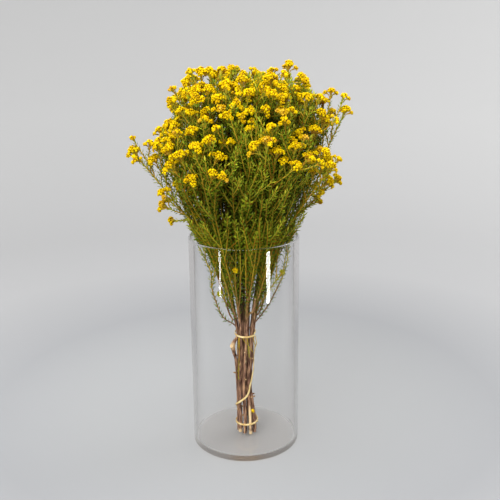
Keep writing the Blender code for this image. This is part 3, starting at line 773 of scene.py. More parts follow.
@dataclass(frozen=True)
class SprigRule:
    """How leafy sprigs, some with a small head, are set along the grown shoots and stems."""

    seed: int
    stem_from: float = 0.186
    shoot_from: float = 0.016
    tip_gap: float = 0.012
    gaps: tuple[float, float] = (0.006, 0.013)
    lengths: tuple[float, float] = (0.020, 0.048)
    stem_lengths: tuple[float, float] = (0.030, 0.066)
    radii: tuple[float, float] = (0.0008, 0.0005)
    leans: tuple[float, float] = (math.radians(24), math.radians(40))
    swing: float = 1.1
    lift: float = 0.55
    handle: float = 0.33
    clear: float = 0.0009
    room: float = 0.0070
    trials: int = 9
    flower_drop: float = 0.004
    flower_depth: float = 0.036
    flower_share: float = 0.55
    flower_sizes: tuple[float, float] = (0.0045, 0.0065)
    low: float = 0.370
    low_depth: float = 0.35
    lowest: float = 0.0

    def holds(self, place: Vector) -> bool:
        """Tell whether a sprig's tip keeps its leaves off the glass and inside the crown."""
        if place.z < GLASS.height:
            return math.hypot(place.x, place.y) < between(CROWN.waist, place.z)
        reach = math.hypot(place.x, place.y)
        return reach + self.room < between(CROWN.outline, place.z) and place.z + self.room < CROWN.top(reach)

    def flower(self, draw: random.Random, tip: Vector) -> float:
        """Draw the size of the head that a sprig carries, or nought where its tip lies far within or low."""
        reach = math.hypot(tip.x, tip.y)
        near_side = between(CROWN.outline, tip.z) - reach < self.flower_depth
        near_top = CROWN.top(reach) - tip.z < self.flower_depth
        lowest = between(CROWN.lowest_tips, math.degrees(math.atan2(tip.y, tip.x)) % 360.0)
        outside = tip.z >= lowest - self.flower_drop and (near_side or near_top)
        if not outside or draw.random() > self.flower_share:
            return 0.0
        return draw.uniform(*self.flower_sizes)

    def grow(self, stems: list[Shoot], crowd: Crowd) -> int:
        """Set the sprigs on all that has grown.

        Args:
            stems: The stems with their shoots and twigs.
            crowd: What has grown.

        Returns:
            How many were set.
        """
        draw = random.Random(self.seed)
        count = 0
        for index, stem in enumerate(stems):
            for shoot in stem.family():
                if shoot.kind is Kind.STUB:
                    continue
                bare = self.stem_from - shoot.foot if shoot.kind is Kind.STEM else self.shoot_from
                distance = bare + draw.uniform(*self.gaps)
                while distance < shoot.route.length - self.tip_gap:
                    count += self.try_here(draw, crowd, shoot, distance, BUNDLE.azimuth(index))
                    distance += draw.uniform(*self.gaps)
        return count

    def try_here(self, draw: random.Random, crowd: Crowd, shoot: Shoot, distance: float, out: float) -> bool:
        """Set one sprig at a place, if any of a few tries passes clear.

        Args:
            draw: The run of random numbers.
            crowd: What has grown.
            shoot: What carries the sprig.
            distance: How far along the shoot it forks off.
            out: The way out of the bundle, as an angle, for a sprig on a stem.

        Returns:
            Whether one was set.
        """
        start, along = shoot.route.at(distance), shoot.route.heading(distance)
        outside_low = GLASS.height < start.z < self.low and CROWN.depth(start) < self.low_depth
        if outside_low or start.z < self.lowest:
            return False
        first, second = across(along)
        on_stem = shoot.kind is Kind.STEM
        for _ in range(self.trials):
            if on_stem:
                angle = out + draw.uniform(-self.swing, self.swing)
                side = Vector((math.cos(angle), math.sin(angle), 0.0))
                side = (side - along * side.dot(along)).normalized()
                length = draw.uniform(*self.stem_lengths)
            else:
                angle = draw.uniform(0.0, math.tau)
                side = first * math.cos(angle) + second * math.sin(angle)
                length = draw.uniform(*self.lengths)
            lean = draw.uniform(*self.leans)
            leaving = along * math.cos(lean) + side * math.sin(lean)
            arriving = (leaving + Vector((0.0, 0.0, self.lift))).normalized()
            tip = start + (leaving + arriving).normalized() * length
            if not self.holds(tip):
                continue
            route = curve(start, leaving, tip, arriving, length * self.handle, length * self.handle)
            sprig = Shoot(Kind.SPRIG, route, self.radii, 0.0, self.flower(draw, tip))
            if sprig.fits(crowd, shoot, self.clear):
                sprig.settle(crowd, shoot, distance)
                return True
        return False


SPRIG_RULES = (
    ("long", SprigRule(7, gaps=(0.020, 0.044), lengths=(0.045, 0.085), stem_lengths=(0.070, 0.150),
                       leans=(math.radians(14), math.radians(30)), tip_gap=0.030, swing=2.4)),
    ("short", SprigRule(4)),
    ("last", SprigRule(9, gaps=(0.007, 0.016), trials=16, clear=0.0004, flower_share=0.0, lowest=0.330)))
PegRow = tuple[int, float, float, float]
TwigRow = tuple[Place | None, float, Place, float]


@dataclass(frozen=True)
class ExtraRule:
    """Growth that the photograph shows here and there: leafy shoots, twigs with heads, pegs and wisps."""

    seed: int = 3
    trials: int = 360
    clear: float = 0.0003
    shift: float = 0.007
    root_shift: float = 0.030
    root_gap: float = 0.004
    leafy: tuple[tuple[int, float, Place], ...] = (
        (7, 0.215, (0.006, -0.090, 0.437)), (8, 0.226, (0.047, -0.085, 0.462)),
        (8, 0.205, (0.063, -0.080, 0.426)), (7, 0.232, (0.044, -0.090, 0.401)),
        (6, 0.222, (-0.015, -0.090, 0.420)), (6, 0.208, (-0.046, -0.085, 0.403)),
        (0, 0.222, (0.080, -0.058, 0.410)), (11, 0.228, (0.008, -0.062, 0.512)),
        (7, 0.222, (0.026, -0.094, 0.420)), (11, 0.222, (0.001, -0.080, 0.5200)),
        (11, 0.210, (0.0165, -0.078, 0.5175)), (11, 0.234, (0.008, -0.086, 0.5150)),
        (7, 0.228, (0.032, -0.094, 0.4515)), (8, 0.232, (0.045, -0.092, 0.458)),
        (7, 0.212, (0.023, -0.096, 0.445)), (7, 0.236, (0.003, -0.098, 0.439)),
        (6, 0.216, (-0.015, -0.097, 0.425)), (8, 0.220, (0.068, -0.085, 0.426)),
        (8, 0.214, (0.056, -0.090, 0.439)), (6, 0.230, (-0.024, -0.095, 0.440)),
        (7, 0.206, (0.011, -0.085, 0.465)), (6, 0.236, (-0.005, -0.085, 0.472)),
        (8, 0.238, (0.028, -0.085, 0.472)), (0, 0.214, (0.082, -0.070, 0.4055)),
        (5, 0.214, (-0.046, -0.075, 0.408)), (6, 0.210, (-0.008, -0.092, 0.454)))
    twigs: tuple[TwigRow, ...] = (
        (LEFT_TIP, 0.013, (-0.1434, -0.018, 0.4285), 0.0052),
        (LEFT_TIP, 0.012, (-0.1370, -0.024, 0.4085), 0.0054),
        (LEFT_TIP, 0.036, (-0.1167, -0.014, 0.4244), 0.0060),
        (LEFT_TIP, 0.030, (-0.1155, -0.026, 0.4090), 0.0056),
        (LEFT_TIP, 0.056, (-0.0960, -0.022, 0.4134), 0.0060),
        (RIGHT_TIP, 0.060, (0.1132, -0.006, 0.4898), 0.0064),
        (RIGHT_TIP, 0.042, (0.1300, -0.010, 0.4830), 0.0060),
        (None, 0.034, (0.009, -0.088, 0.474), 0.0064),
        (None, 0.030, (-0.018, -0.092, 0.469), 0.0062),
        (None, 0.032, (0.000, -0.092, 0.468), 0.0058),
        (None, 0.034, (0.028, -0.086, 0.475), 0.0062),
        (None, 0.030, (-0.007, -0.086, 0.481), 0.0064),
        (None, 0.030, (0.018, -0.094, 0.461), 0.0058),
        (None, 0.034, (0.005, -0.098, 0.4545), 0.0060),
        (None, 0.036, (0.023, -0.100, 0.431), 0.0056),
        (None, 0.030, (0.048, -0.084, 0.471), 0.0062),
        (None, 0.036, (-0.025, -0.098, 0.417), 0.0056))
    outlying: int = 84
    outlying_heights: tuple[float, float] = (0.390, 0.512)
    outlying_within: float = 0.112
    outlying_rise: tuple[float, float] = (0.004, 0.013)
    outlying_side: float = 0.014
    outlying_over: float = 0.009
    outlying_root: tuple[float, float] = (0.018, 0.034)
    outlying_heads: tuple[float, float] = (0.0048, 0.0062)
    peg_radii: tuple[float, float] = (0.0012, 0.0010)
    peg_rise: float = 0.35
    pegs: tuple[PegRow, ...] = (
        (6, 0.112, 20.0, 0.0030), (7, 0.131, -25.0, 0.0024), (7, 0.090, 30.0, 0.0026),
        (8, 0.120, 10.0, 0.0030), (6, 0.043, -15.0, 0.0026), (5, 0.096, 0.0, 0.0032),
        (8, 0.062, 20.0, 0.0030), (0, 0.060, 0.0, 0.0030), (4, 0.118, 0.0, 0.0030),
        (3, 0.070, 10.0, 0.0028), (2, 0.125, 10.0, 0.0030), (1, 0.060, -15.0, 0.0026))
    bud_peg: PegRow = (8, 0.042, 15.0, 0.0036)
    bud_reach: float = 0.0028
    knob: PegRow = (5, 0.1375, 48.0, 0.0020)
    knob_radii: tuple[float, float] = (0.0034, 0.0030)
    knob_rise: float = 0.75
    wisp_radii: tuple[float, float] = (0.0005, 0.0004)
    wisps: tuple[tuple[int, float | None, tuple[Place, ...]], ...] = (
        (6, None, ((-0.0052, -0.0098, 0.1570), (-0.0010, -0.0150, 0.1500), (0.0045, -0.0158, 0.1435),
                   (0.0109, -0.0152, 0.1337))),
        (6, 0.50, ((-0.0070, -0.0085, 0.1560), (-0.0080, -0.0118, 0.1480), (-0.0077, -0.0135, 0.1351),
                   (-0.0088, -0.0140, 0.1173), (-0.0102, -0.0130, 0.0935))),
        (5, 0.40, ((-0.0085, -0.0080, 0.1550), (-0.0090, -0.0112, 0.1490), (-0.0098, -0.0130, 0.1385))),
        (7, 0.35, ((0.0022, -0.0112, 0.1570), (0.0036, -0.0148, 0.1500), (0.0049, -0.0152, 0.1418),
                   (0.0056, -0.0148, 0.1270))),
        (8, 0.55, ((0.0100, -0.0070, 0.1570), (0.0128, -0.0100, 0.1480), (0.0140, -0.0108, 0.1405))))

    def grow(self, growth: Growth) -> None:
        """Set them all on the grown bunch."""
        draw = random.Random(self.seed)
        for index, height, tip in self.leafy:
            stem = growth.stems[index]
            self.try_tips(draw, growth, stem, height - stem.foot, Vector(tip), 0.0)
        flowering = [shoot for stem in growth.stems for shoot in stem.family() if shoot.head]
        for near, below, tip, head in self.twigs:
            beside = Vector(near or tip)
            parent = min(flowering, key=lambda shoot: (shoot.head_middle() - beside).length)
            self.try_tips(draw, growth, parent, parent.route.length - below, Vector(tip), head)
        for parent in draw.sample(flowering, self.outlying):
            self.outlying_twig(draw, growth, parent)
        for row in self.pegs:
            self.peg(growth, *row)
        bud = self.peg(growth, *self.bud_peg)
        end = bud.route.length
        bud.bunch = [Head(bud.route.at(end), bud.route.heading(end), self.bud_reach)]
        self.peg(growth, *self.knob, self.knob_radii, self.knob_rise)
        for index, leafy_from, places in self.wisps:
            route = through([Vector(place) for place in places])
            wisp = Shoot(Kind.WISP, route, self.wisp_radii, leafy_from)
            growth.stems[index].forks.append((places[0][2] - growth.stems[index].foot, wisp))

    def outlying_twig(self, draw: random.Random, growth: Growth, parent: Shoot) -> None:
        """Set a twig beside the head of a shoot that ends at the crown's outside.

        Args:
            draw: The run of random numbers.
            growth: The grown bunch.
            parent: The shoot that carries it.
        """
        place = parent.head_middle()
        low, high = self.outlying_heights
        if CROWN.depth(place) > 0.0 or not low < place.z < high or abs(place.x) > self.outlying_within:
            return
        end = parent.route.length
        along = parent.route.heading(end)
        first, second = across(along)
        angle = draw.uniform(0.0, math.tau)
        side = first * math.cos(angle) + second * math.sin(angle)
        tip = place + along * draw.uniform(*self.outlying_rise)
        tip += side * self.outlying_side
        root = end - draw.uniform(*self.outlying_root)
        head = draw.uniform(*self.outlying_heads)
        if tip.z < CROWN.top(math.hypot(tip.x, tip.y)) + self.outlying_over:
            self.try_tips(draw, growth, parent, root, tip, head)

    def try_tips(self, draw: random.Random, growth: Growth, parent: Shoot, distance: float, tip: Vector,
                 head: float) -> None:
        """Fork a twig off a shoot to a tip, shifted a little until it passes clear.

        Args:
            draw: The run of random numbers.
            growth: The grown bunch.
            parent: What carries the twig.
            distance: How far along the parent it forks off.
            tip: Where it ends.
            head: Its head's radius, or nought.
        """
        for trial in range(self.trials):
            shift = self.shift * trial / self.trials
            place = tip + Vector([draw.uniform(-shift, shift) for _ in range(3)])
            root = distance + draw.uniform(-self.root_shift, self.root_shift) * trial / self.trials
            root = min(max(root, self.root_gap), parent.route.length - self.root_gap)
            twig = growth.forked(parent, root, place, Kind.TWIG, head)
            if twig.fits(growth.crowd, parent, self.clear):
                twig.settle(growth.crowd, parent, root)
                return
        LOG.info("no room for the twig to %s", tuple(tip))

    def peg(self, growth: Growth, index: int, height: float, turn: float, length: float,
            radii: tuple[float, float] | None = None, rise: float | None = None) -> Shoot:
        """Leave the short stump of a broken side twig on a stem of the bundle.

        Args:
            growth: The grown bunch.
            index: Which stem.
            height: How high it stands.
            turn: How far it points past straight out, in degrees.
            length: How far it stands off the bark.
            radii: Its thickness at the root and at the cut, or None for a thin peg's.
            rise: How steeply it points up, or None for a thin peg's.

        Returns:
            The peg.
        """
        stem = growth.stems[index]
        start = BUNDLE.leant(index, BUNDLE.place(index, height))
        middle = Vector((between(BUNDLE.middle, height), 0.0, height))
        out = (start - middle).normalized()
        out.rotate(Matrix.Rotation(math.radians(turn), 3, "Z"))
        out = (out + Vector((0.0, 0.0, rise or self.peg_rise))).normalized()
        route = Route([start, start + out * (BUNDLE.radius(index, height) + length)])
        peg = Shoot(Kind.STUB, route, radii or self.peg_radii, None)
        stem.forks.append((height - stem.foot, peg))
        return peg


@dataclass
class HeadRule:
    """How each flower head is broken up into one main head and a few smaller ones beside it."""

    seed: int = 21
    seat: float = 0.88
    reaches: tuple[float, float] = (0.82, 1.0)
    side_counts: tuple[int, ...] = (1, 2, 2, 3, 3)
    side_reaches: tuple[float, float] = (0.45, 0.66)
    side_out: tuple[float, float] = (0.85, 1.20)
    side_drop: tuple[float, float] = (0.05, 0.50)
    side_tilt: float = 0.75
    places_round: int = 3
    side_swing: float = 0.4

    def split(self, stems: list[Shoot]) -> int:
        """Fill each flowering shoot's bunch of heads.

        Args:
            stems: The stems with all that grows on them.

        Returns:
            How many heads there are.
        """
        draw = random.Random(self.seed)
        count = 0
        for shoot in itertools.chain.from_iterable(stem.family() for stem in stems):
            if shoot.head:
                aim = shoot.route.heading(shoot.route.length)
                middle = shoot.route.at(shoot.route.length) + aim * shoot.head * self.seat
                shoot.bunch = [Head(middle, aim, shoot.head * draw.uniform(*self.reaches))]
                if middle.z > GLASS.height:
                    shoot.bunch += self.side_heads(draw, shoot, aim, middle)
                count += len(shoot.bunch)
        return count

    def side_heads(self, draw: random.Random, shoot: Shoot, aim: Vector, middle: Vector) -> list[Head]:
        """Place the smaller heads round a main one.

        Args:
            draw: The run of random numbers.
            shoot: What carries them.
            aim: The main head's direction.
            middle: The main head's middle.

        Returns:
            The smaller heads.
        """
        first, second = across(aim)
        count = draw.choice(self.side_counts)
        turn = draw.uniform(0.0, math.tau)
        heads = []
        for number in range(count):
            angle = turn + math.tau * number / self.places_round
            angle += draw.uniform(-self.side_swing, self.side_swing)
            side = first * math.cos(angle) + second * math.sin(angle)
            out, drop = draw.uniform(*self.side_out), draw.uniform(*self.side_drop)
            place = middle + (side * out - aim * drop) * shoot.head
            reach = shoot.head * draw.uniform(*self.side_reaches)
            if place.z > GLASS.height or GLASS.holds(place, reach):
                heads.append(Head(place, (aim + side * self.side_tilt).normalized(), reach))
        return heads


# Node trees


Tree, Socket, Shader = bpy.types.NodeTree, bpy.types.NodeSocket, bpy.types.Node
Material, Piece = bpy.types.Material, bpy.types.Object
Stops = tuple[tuple[float, str], ...]

READ, RAMP, MIX = "ShaderNodeAttribute", "ShaderNodeValToRGB", "ShaderNodeMix"
MATHS, VECTORS, CHANCE = "ShaderNodeMath", "ShaderNodeVectorMath", "FunctionNodeRandomValue"
NAMED, STORE = "GeometryNodeInputNamedAttribute", "GeometryNodeStoreNamedAttribute"
ON_POINTS, REALIZE = "GeometryNodeInstanceOnPoints", "GeometryNodeRealizeInstances"
ALIGN = "FunctionNodeAlignRotationToVector"


def linear(code: str) -> tuple[float, float, float, float]:
    """Turn an sRGB hex colour into the linear colour that Blender takes.

    Args:
        code: The colour, as #rrggbb.

    Returns:
        Linear red, green and blue, and an alpha of one.
    """
    parts = [int(code[place:place + 2], 16) / 255 for place in (1, 3, 5)]
    return *(part / 12.92 if part <= 0.04045 else ((part + 0.055) / 1.055) ** 2.4 for part in parts), 1.0


def add(tree: Tree, kind: str, links: dict | tuple = (), out: int | str = 0, stops: Stops = (),
        **settings: object) -> Socket | None:
    """Add a node with its settings, values and links.

    Args:
        tree: The tree that takes it.
        kind: Its type.
        links: The socket that feeds each input, or its value, in order or by the input's name or number.
        out: The number or name of the output that is wanted.
        stops: For a colour ramp, each place on it with its hex colour.
        settings: The node's own settings.

    Returns:
        The output, or nothing where the node has none.
    """
    node = tree.nodes.new(kind)
    for name, value in settings.items():
        setattr(node, name, value)
    for key, value in links.items() if isinstance(links, dict) else enumerate(links):
        if isinstance(value, Socket):
            tree.links.new(value, node.inputs[key])
        else:
            node.inputs[key].default_value = value
    if stops:
        band = node.color_ramp.elements
        while len(band) < len(stops):
            band.new(1.0)
        for element, (place, code) in zip(band, stops):
            element.position, element.color = place, linear(code)
    return node.outputs[out] if node.outputs else None


def new_tree(name: str, inputs: dict[str, str]) -> tuple[Tree, dict[str, Socket]]:
    """Start a tree of geometry nodes with named inputs.

    Args:
        name: The tree's name.
        inputs: Each input's name and socket type, without the word that all types start with.

    Returns:
        The tree, and the sockets that its inputs come out of.
    """
    tree = bpy.data.node_groups.new(name, "GeometryNodeTree")
    tree.interface.new_socket(name="Geometry", in_out="INPUT", socket_type="NodeSocketGeometry")
    for label, kind in inputs.items():
        tree.interface.new_socket(name=label, in_out="INPUT", socket_type=f"NodeSocket{kind}")
    tree.interface.new_socket(name="Geometry", in_out="OUTPUT", socket_type="NodeSocketGeometry")
    return tree, dict(add(tree, "NodeGroupInput").node.outputs.items())


def end_tree(tree: Tree, geometry: Socket, material: Socket) -> None:
    """Make what the tree has set out real, give it its material, and end the tree there."""
    real = add(tree, REALIZE, {"Geometry": geometry})
    dressed = add(tree, "GeometryNodeSetMaterial", {"Geometry": real, "Material": material})
    add(tree, "NodeGroupOutput", {"Geometry": dressed})


def set_out(name: str, source: Piece, tree: Tree, values: dict) -> Piece:
    """Run a tree on a source object, and keep the result as a plain mesh piece.

    Args:
        name: The piece's name.
        source: The object that the tree starts from, which is removed.
        tree: The tree.
        values: What its named inputs are set to.

    Returns:
        The piece.
    """
    modifier = source.modifiers.new(tree.name, "NODES")
    modifier.node_group = tree
    for item in tree.interface.items_tree:
        if item.in_out == "INPUT" and item.name in values:
            modifier[item.identifier] = values[item.name]
    graph = bpy.context.evaluated_depsgraph_get()
    mesh = bpy.data.meshes.new_from_object(source.evaluated_get(graph), preserve_all_data_layers=True,
                                           depsgraph=graph)
    source.modifiers.remove(modifier)
    bpy.data.objects.remove(source)
    mesh.name = name
    return link(name, mesh)


def link(name: str, data: bpy.types.ID) -> Piece:
    """Put data into the scene as an object at the origin."""
    piece = bpy.data.objects.new(name, data)
    bpy.context.scene.collection.objects.link(piece)
    return piece


# Finishes


@dataclass(frozen=True)
class Finish:
    """A material with one shader and the nodes that colour and roughen it."""

    name: str

    def start(self, **sockets: float | tuple) -> tuple[Material, Tree, Shader]:
        """Make the material with constant values on its shader.

        Args:
            sockets: The shader's values, by socket name with underscores for spaces.

        Returns:
            The material, its tree and its shader.
        """
        material = bpy.data.materials.new(self.name)
        material.use_nodes = True
        tree = material.node_tree
        shader = tree.nodes["Principled BSDF"]
        for key, value in sockets.items():
            shader.inputs[key.replace("_", " ")].default_value = value
        return material, tree, shader

    def paint(self, tree: Tree, shader: Shader, colour: Socket,
              layers: tuple[tuple[Socket, Socket | str], ...] = ()) -> None:
        """Colour the surface, with further colours laid over the first one by a share each.

        Args:
            tree: The material's tree.
            shader: Its shader.
            colour: The first colour.
            layers: Each share, from nought to one, with the colour or hex colour that it lays over.
        """
        for share, over in layers:
            over = linear(over) if isinstance(over, str) else over
            colour = add(tree, MIX, {0: share, 6: colour, 7: over}, out=2, data_type="RGBA")
        tree.links.new(colour, shader.inputs["Base Color"])

    def mottle(self, tree: Tree, scale: Place, detail: float) -> Socket:
        """Lay noise over a piece.

        Args:
            tree: The material's tree.
            scale: How many blotches to the metre along each axis.
            detail: How many finer layers the noise has.

        Returns:
            The noise's value.
        """
        place = add(tree, "ShaderNodeTexCoord", out="Object")
        spread = add(tree, "ShaderNodeMapping", {"Vector": place, "Scale": scale})
        return add(tree, "ShaderNodeTexNoise", {"Vector": spread, "Scale": 1.0, "Detail": detail})

    def relief(self, tree: Tree, shader: Shader, height: Socket, strength: float, depth: float) -> None:
        """Roughen the surface by a height from nought to one, which goes so many metres deep."""
        bump = add(tree, "ShaderNodeBump", {"Height": height, "Strength": strength, "Distance": depth})
        tree.links.new(bump, shader.inputs["Normal"])


@dataclass(frozen=True)
class ClearGlass(Finish):
    """Soda-lime glass, drawn and fire-polished: colourless face on, faintly grey along its edges.

    Its index of refraction is under that of real glass, so that the studio's mirror images stay faint.
    """

    grain: float = 0.0
    refraction: float = 1.31
    edge_tint: str = "#dedcda"
    room_tint: str = "#fcfbfa"

    def make(self) -> Material:
        """Build the material. Lamps and light from the room pass it straight, as they do a real thin wall."""
        material, tree, shader = self.start(Base_Color=linear("#ffffff"), Roughness=self.grain,
                                            IOR=self.refraction, Transmission_Weight=1.0)
        ray = add(tree, "ShaderNodeLightPath").node.outputs
        surface = shader.outputs[0]
        passes = ((("Is Reflection Ray", "Is Glossy Ray"), "MULTIPLY", self.edge_tint),
                  (("Is Shadow Ray", "Is Diffuse Ray"), "MAXIMUM", self.room_tint))
        for rays, operation, tint in passes:
            share = add(tree, MATHS, tuple(ray[kind] for kind in rays), operation=operation)
            straight = add(tree, "ShaderNodeBsdfTransparent", {"Color": linear(tint)})
            surface = add(tree, "ShaderNodeMixShader", (share, surface, straight))
        tree.links.new(surface, tree.nodes["Material Output"].inputs["Surface"])
        return material


class PaleElastic(Finish):
    """Natural rubber, cut as a flat band: cream yellow, dull, dusted and darker in blotches."""

    def make(self) -> Material:
        """Build the material, with blotches of about 5 mm and dust of 1 mm."""
        material, tree, shader = self.start(Roughness=0.55, Specular_IOR_Level=0.4)
        blotches = self.mottle(tree, (180.0, 180.0, 120.0), 3.0)
        self.paint(tree, shader, add(tree, RAMP, (blotches,), stops=(
            (0.30, "#cfa75c"), (0.52, "#e8cf90"), (0.75, "#f2e0b0"))))
        self.relief(tree, shader, self.mottle(tree, (900.0, 900.0, 300.0), 2.0), 0.25, 0.0002)
        return material


class Bark(Finish):
    """Dry phylica wood: greyish mauve-brown bark below, olive and straw-coloured skin on young growth."""

    def make(self) -> Material:
        """Build the material, which reads each place's age, peeled share and painted shade from its mesh."""
        material, tree, shader = self.start(Roughness=0.8, Specular_IOR_Level=0.1)
        age, peel, deep = (add(tree, READ, out="Fac", attribute_name=name)
                           for name in ("age", "peel", "deep"))
        streaks = self.mottle(tree, (620.0, 620.0, 75.0), 4.0)
        patches = self.mottle(tree, (90.0, 90.0, 24.0), 2.0)
        old = add(tree, RAMP, (streaks,), stops=(
            (0.32, "#2c1c15"), (0.44, "#6b4c3c"), (0.56, "#9c7861"), (0.72, "#cba477")))
        young = add(tree, RAMP, (patches,), stops=((0.30, "#946612"), (0.50, "#ba9626"), (0.70, "#a5a12c")))
        # painted shade: wood that lies inside the bunch is darkened towards near black
        self.paint(tree, shader, young, ((age, old), (peel, "#ead0a0"), (deep, "#2e2009")))
        self.relief(tree, shader, streaks, 0.8, 0.0005)
        return material


class CutWood(Finish):
    """A stem's fresh cut across the grain: pale straw wood, finely mottled."""

    def make(self) -> Material:
        """Build the material."""
        material, tree, shader = self.start(Roughness=0.8, Specular_IOR_Level=0.2)
        grain = self.mottle(tree, (1400.0, 1400.0, 200.0), 2.0)
        self.paint(tree, shader, add(tree, RAMP, (grain,), stops=(
            (0.30, "#b08a5c"), (0.55, "#dcc196"), (0.75, "#ecd9b4"))))
        return material


@dataclass(frozen=True)
class NeedleLeaf(Finish):
    """A waxy needle leaf with rolled edges: dark green low on the shoot, yellow-green towards its tip."""

    shares: tuple[tuple[str, float], ...] = (("tone", 0.5), ("youth", 0.4), ("rise", 0.1))
    greens: Stops = ((0.05, "#3a5206"), (0.35, "#5b7610"), (0.60, "#7d8f1a"), (0.85, "#a3a726"),
                     (1.0, "#bdb02a"))

    def make(self) -> Material:
        """Build the material, which reads each leaf's tone, its place on the shoot and its painted shade."""
        material, tree, shader = self.start(Roughness=0.55, Specular_IOR_Level=0.12)
        mixed = 0.0
        for name, share in self.shares:
            value = add(tree, READ, out="Fac", attribute_name=name)
            mixed = add(tree, MATHS, (value, share, mixed), operation="MULTIPLY_ADD")
        # painted shade: leaves that lie inside the bunch are darkened towards near black
        deep = add(tree, READ, out="Fac", attribute_name="deep")
        self.paint(tree, shader, add(tree, RAMP, (mixed,), stops=self.greens), ((deep, "#1a1e04"),))
        return material


class Floret(Finish):
    """A papery button of yellow florets: bright on its dome and orange to olive down its sides, partly its
    own colour and partly painted light and shade, with painted shade in the hollows between lumps.
    """

    def make(self) -> Material:
        """Build the material, which reads each bud's tone, its head's ripeness and the way up the bud, and
        how far its lump stands out, the last two for painted light and shade.
        """
        material, tree, shader = self.start(Roughness=0.75, Specular_IOR_Level=0.04)
        tone, rise, raised, ripe, green = (add(tree, READ, out="Fac", attribute_name=name)
                                           for name in ("tone", "rise", "raised", "ripe", "green"))
        # dome is the bud's colour where painted lit, sides its colour in painted shade, partly its own olive
        # foot; aged is the ripe buds' own colour
        dome, sides, aged = (add(tree, RAMP, (tone,), stops=stops) for stops in (
            ((0.0, "#cb9c02"), (0.30, "#dab402"), (0.75, "#e3c403"), (1.0, "#ead20a")),
            ((0.0, "#8f6c02"), (0.5, "#a88602"), (1.0, "#c09c04")),
            ((0.0, "#a3701a"), (0.6, "#bb8a1a"), (1.0, "#c98f5a"))))
        # painted light and shade: the top of a bud on a lump is lit, its foot and the hollows between lumps
        # stay shaded
        half = add(tree, MATHS, (raised, 0.5, 0.5), operation="MULTIPLY_ADD")
        lit = add(tree, MATHS, (half, rise), operation="MULTIPLY")
        self.paint(tree, shader, sides, ((lit, dome), (ripe, aged), (green, "#6f8212")))
        return material


@dataclass(frozen=True)
class Paper(Finish):
    """A matt pale grey paper sweep under and behind the vase, with painted light and shade in rings round the
    vase.
    """

    # painted light and shade: darkest in a ring near the vase, paler far out
    painted_light_tones: Stops = ((0.05, "#9b9c9d"), (0.10, "#969798"), (0.16, "#8f9092"), (0.28, "#a0a0a1"),
                    (0.75, "#b0b0b0"))
    shrink: Place = (0.4, 0.4, 0.0)
    shift: Place = (0.0, -0.06, 0.0)
    front: tuple[float, float] = (-0.10, -0.26)
    painted_dark_room: str = "#202020"
    mirror_depth: float = 2.5

    def make(self) -> Material:
        """Build the material, with painted light and shade by the way out from the vase, and painted darkness
        on its near part where the glass mirrors it, for an unlit room.
        """
        material, tree, shader = self.start(Roughness=0.9, Specular_IOR_Level=0.1)
        place = add(tree, "ShaderNodeTexCoord", out="Object")
        flat = add(tree, VECTORS, (place, self.shrink, self.shift), operation="MULTIPLY_ADD")
        away = add(tree, VECTORS, (flat,), out="Value", operation="LENGTH")
        ray = add(tree, "ShaderNodeLightPath").node.outputs
        first = add(tree, MATHS, (ray["Ray Depth"], self.mirror_depth), operation="LESS_THAN")
        mirrored = add(tree, MATHS, (first, ray["Is Glossy Ray"]), operation="MULTIPLY")
        depth = add(tree, "ShaderNodeSeparateXYZ", (place,), out="Y")
        near = add(tree, "ShaderNodeMapRange", {"Value": depth, "From Min": self.front[0],
                                                "From Max": self.front[1]})
        # painted darkness, seen only in the glass's first mirror images of the near paper
        dimmed = add(tree, MATHS, (mirrored, near), operation="MULTIPLY")
        self.paint(tree, shader, add(tree, RAMP, (away,), stops=self.painted_light_tones), ((dimmed, self.painted_dark_room),))
        return material


# Pieces


@dataclass
class Surface:
    """The points, faces and values of a mesh while it is built."""

    points: list[Vector] = field(default_factory=list)
    faces: list[tuple[int, ...]] = field(default_factory=list)
    finishes: list[int] = field(default_factory=list)
    values: dict[str, list[float]] = field(default_factory=dict)

    def ring(self, middle: Vector, heading: Vector, radii: list[float], **values: float) -> list[int]:
        """Add a ring of points round a direction.

        Args:
            middle: The ring's middle.
            heading: The direction.
            radii: How far out each point lies.
            values: What the points' attributes hold.

        Returns:
            The points' numbers.
        """
        first, second = across(heading)
        ring = []
        for side, radius in enumerate(radii):
            angle = math.tau * side / len(radii)
            ring.append(len(self.points))
            self.points.append(middle + (first * math.cos(angle) + second * math.sin(angle)) * radius)
            for name, value in values.items():
                self.values.setdefault(name, []).append(value)
        return ring

    def bridge(self, low: list[int], high: list[int], finish: int = 0) -> None:
        """Close the side between two rings of one count."""
        for side in range(len(low)):
            after = (side + 1) % len(low)
            self.faces.append((low[side], low[after], high[after], high[side]))
            self.finishes.append(finish)

    def lid(self, ring: list[int], finish: int = 0) -> None:
        """Close a ring with one face, counted the way that faces out."""
        self.faces.append(tuple(ring))
        self.finishes.append(finish)

    def skin(self, rings: list[list[int]], first: int = 0, last: int = 0) -> None:
        """Close the sides between a row of rings, and both its ends.

        Args:
            rings: The rings, each counted to the left round the way along the row.
            first: The first end's finish.
            last: The last end's finish.
        """
        for low, high in zip(rings, rings[1:]):
            self.bridge(low, high)
        self.lid(rings[0][::-1], first)
        self.lid(rings[-1], last)

    def mesh(self, name: str, materials: list[Material], fold: float | None = None) -> bpy.types.Mesh:
        """Make the mesh, smooth but for folds sharper than the given angle.

        Args:
            name: The mesh's name.
            materials: Its finishes, in the order that the faces count them.
            fold: The angle, or None for a faceted mesh.

        Returns:
            The mesh.
        """
        mesh = bpy.data.meshes.new(name)
        mesh.from_pydata([tuple(point) for point in self.points], [], self.faces)
        for material in materials:
            mesh.materials.append(material)
        mesh.polygons.foreach_set("material_index", self.finishes)
        for key, values in self.values.items():
            mesh.attributes.new(key, "FLOAT", "POINT").data.foreach_set("value", values)
        if fold is not None:
            mesh.shade_smooth()
            mesh.set_sharp_from_angle(angle=fold)
        return mesh


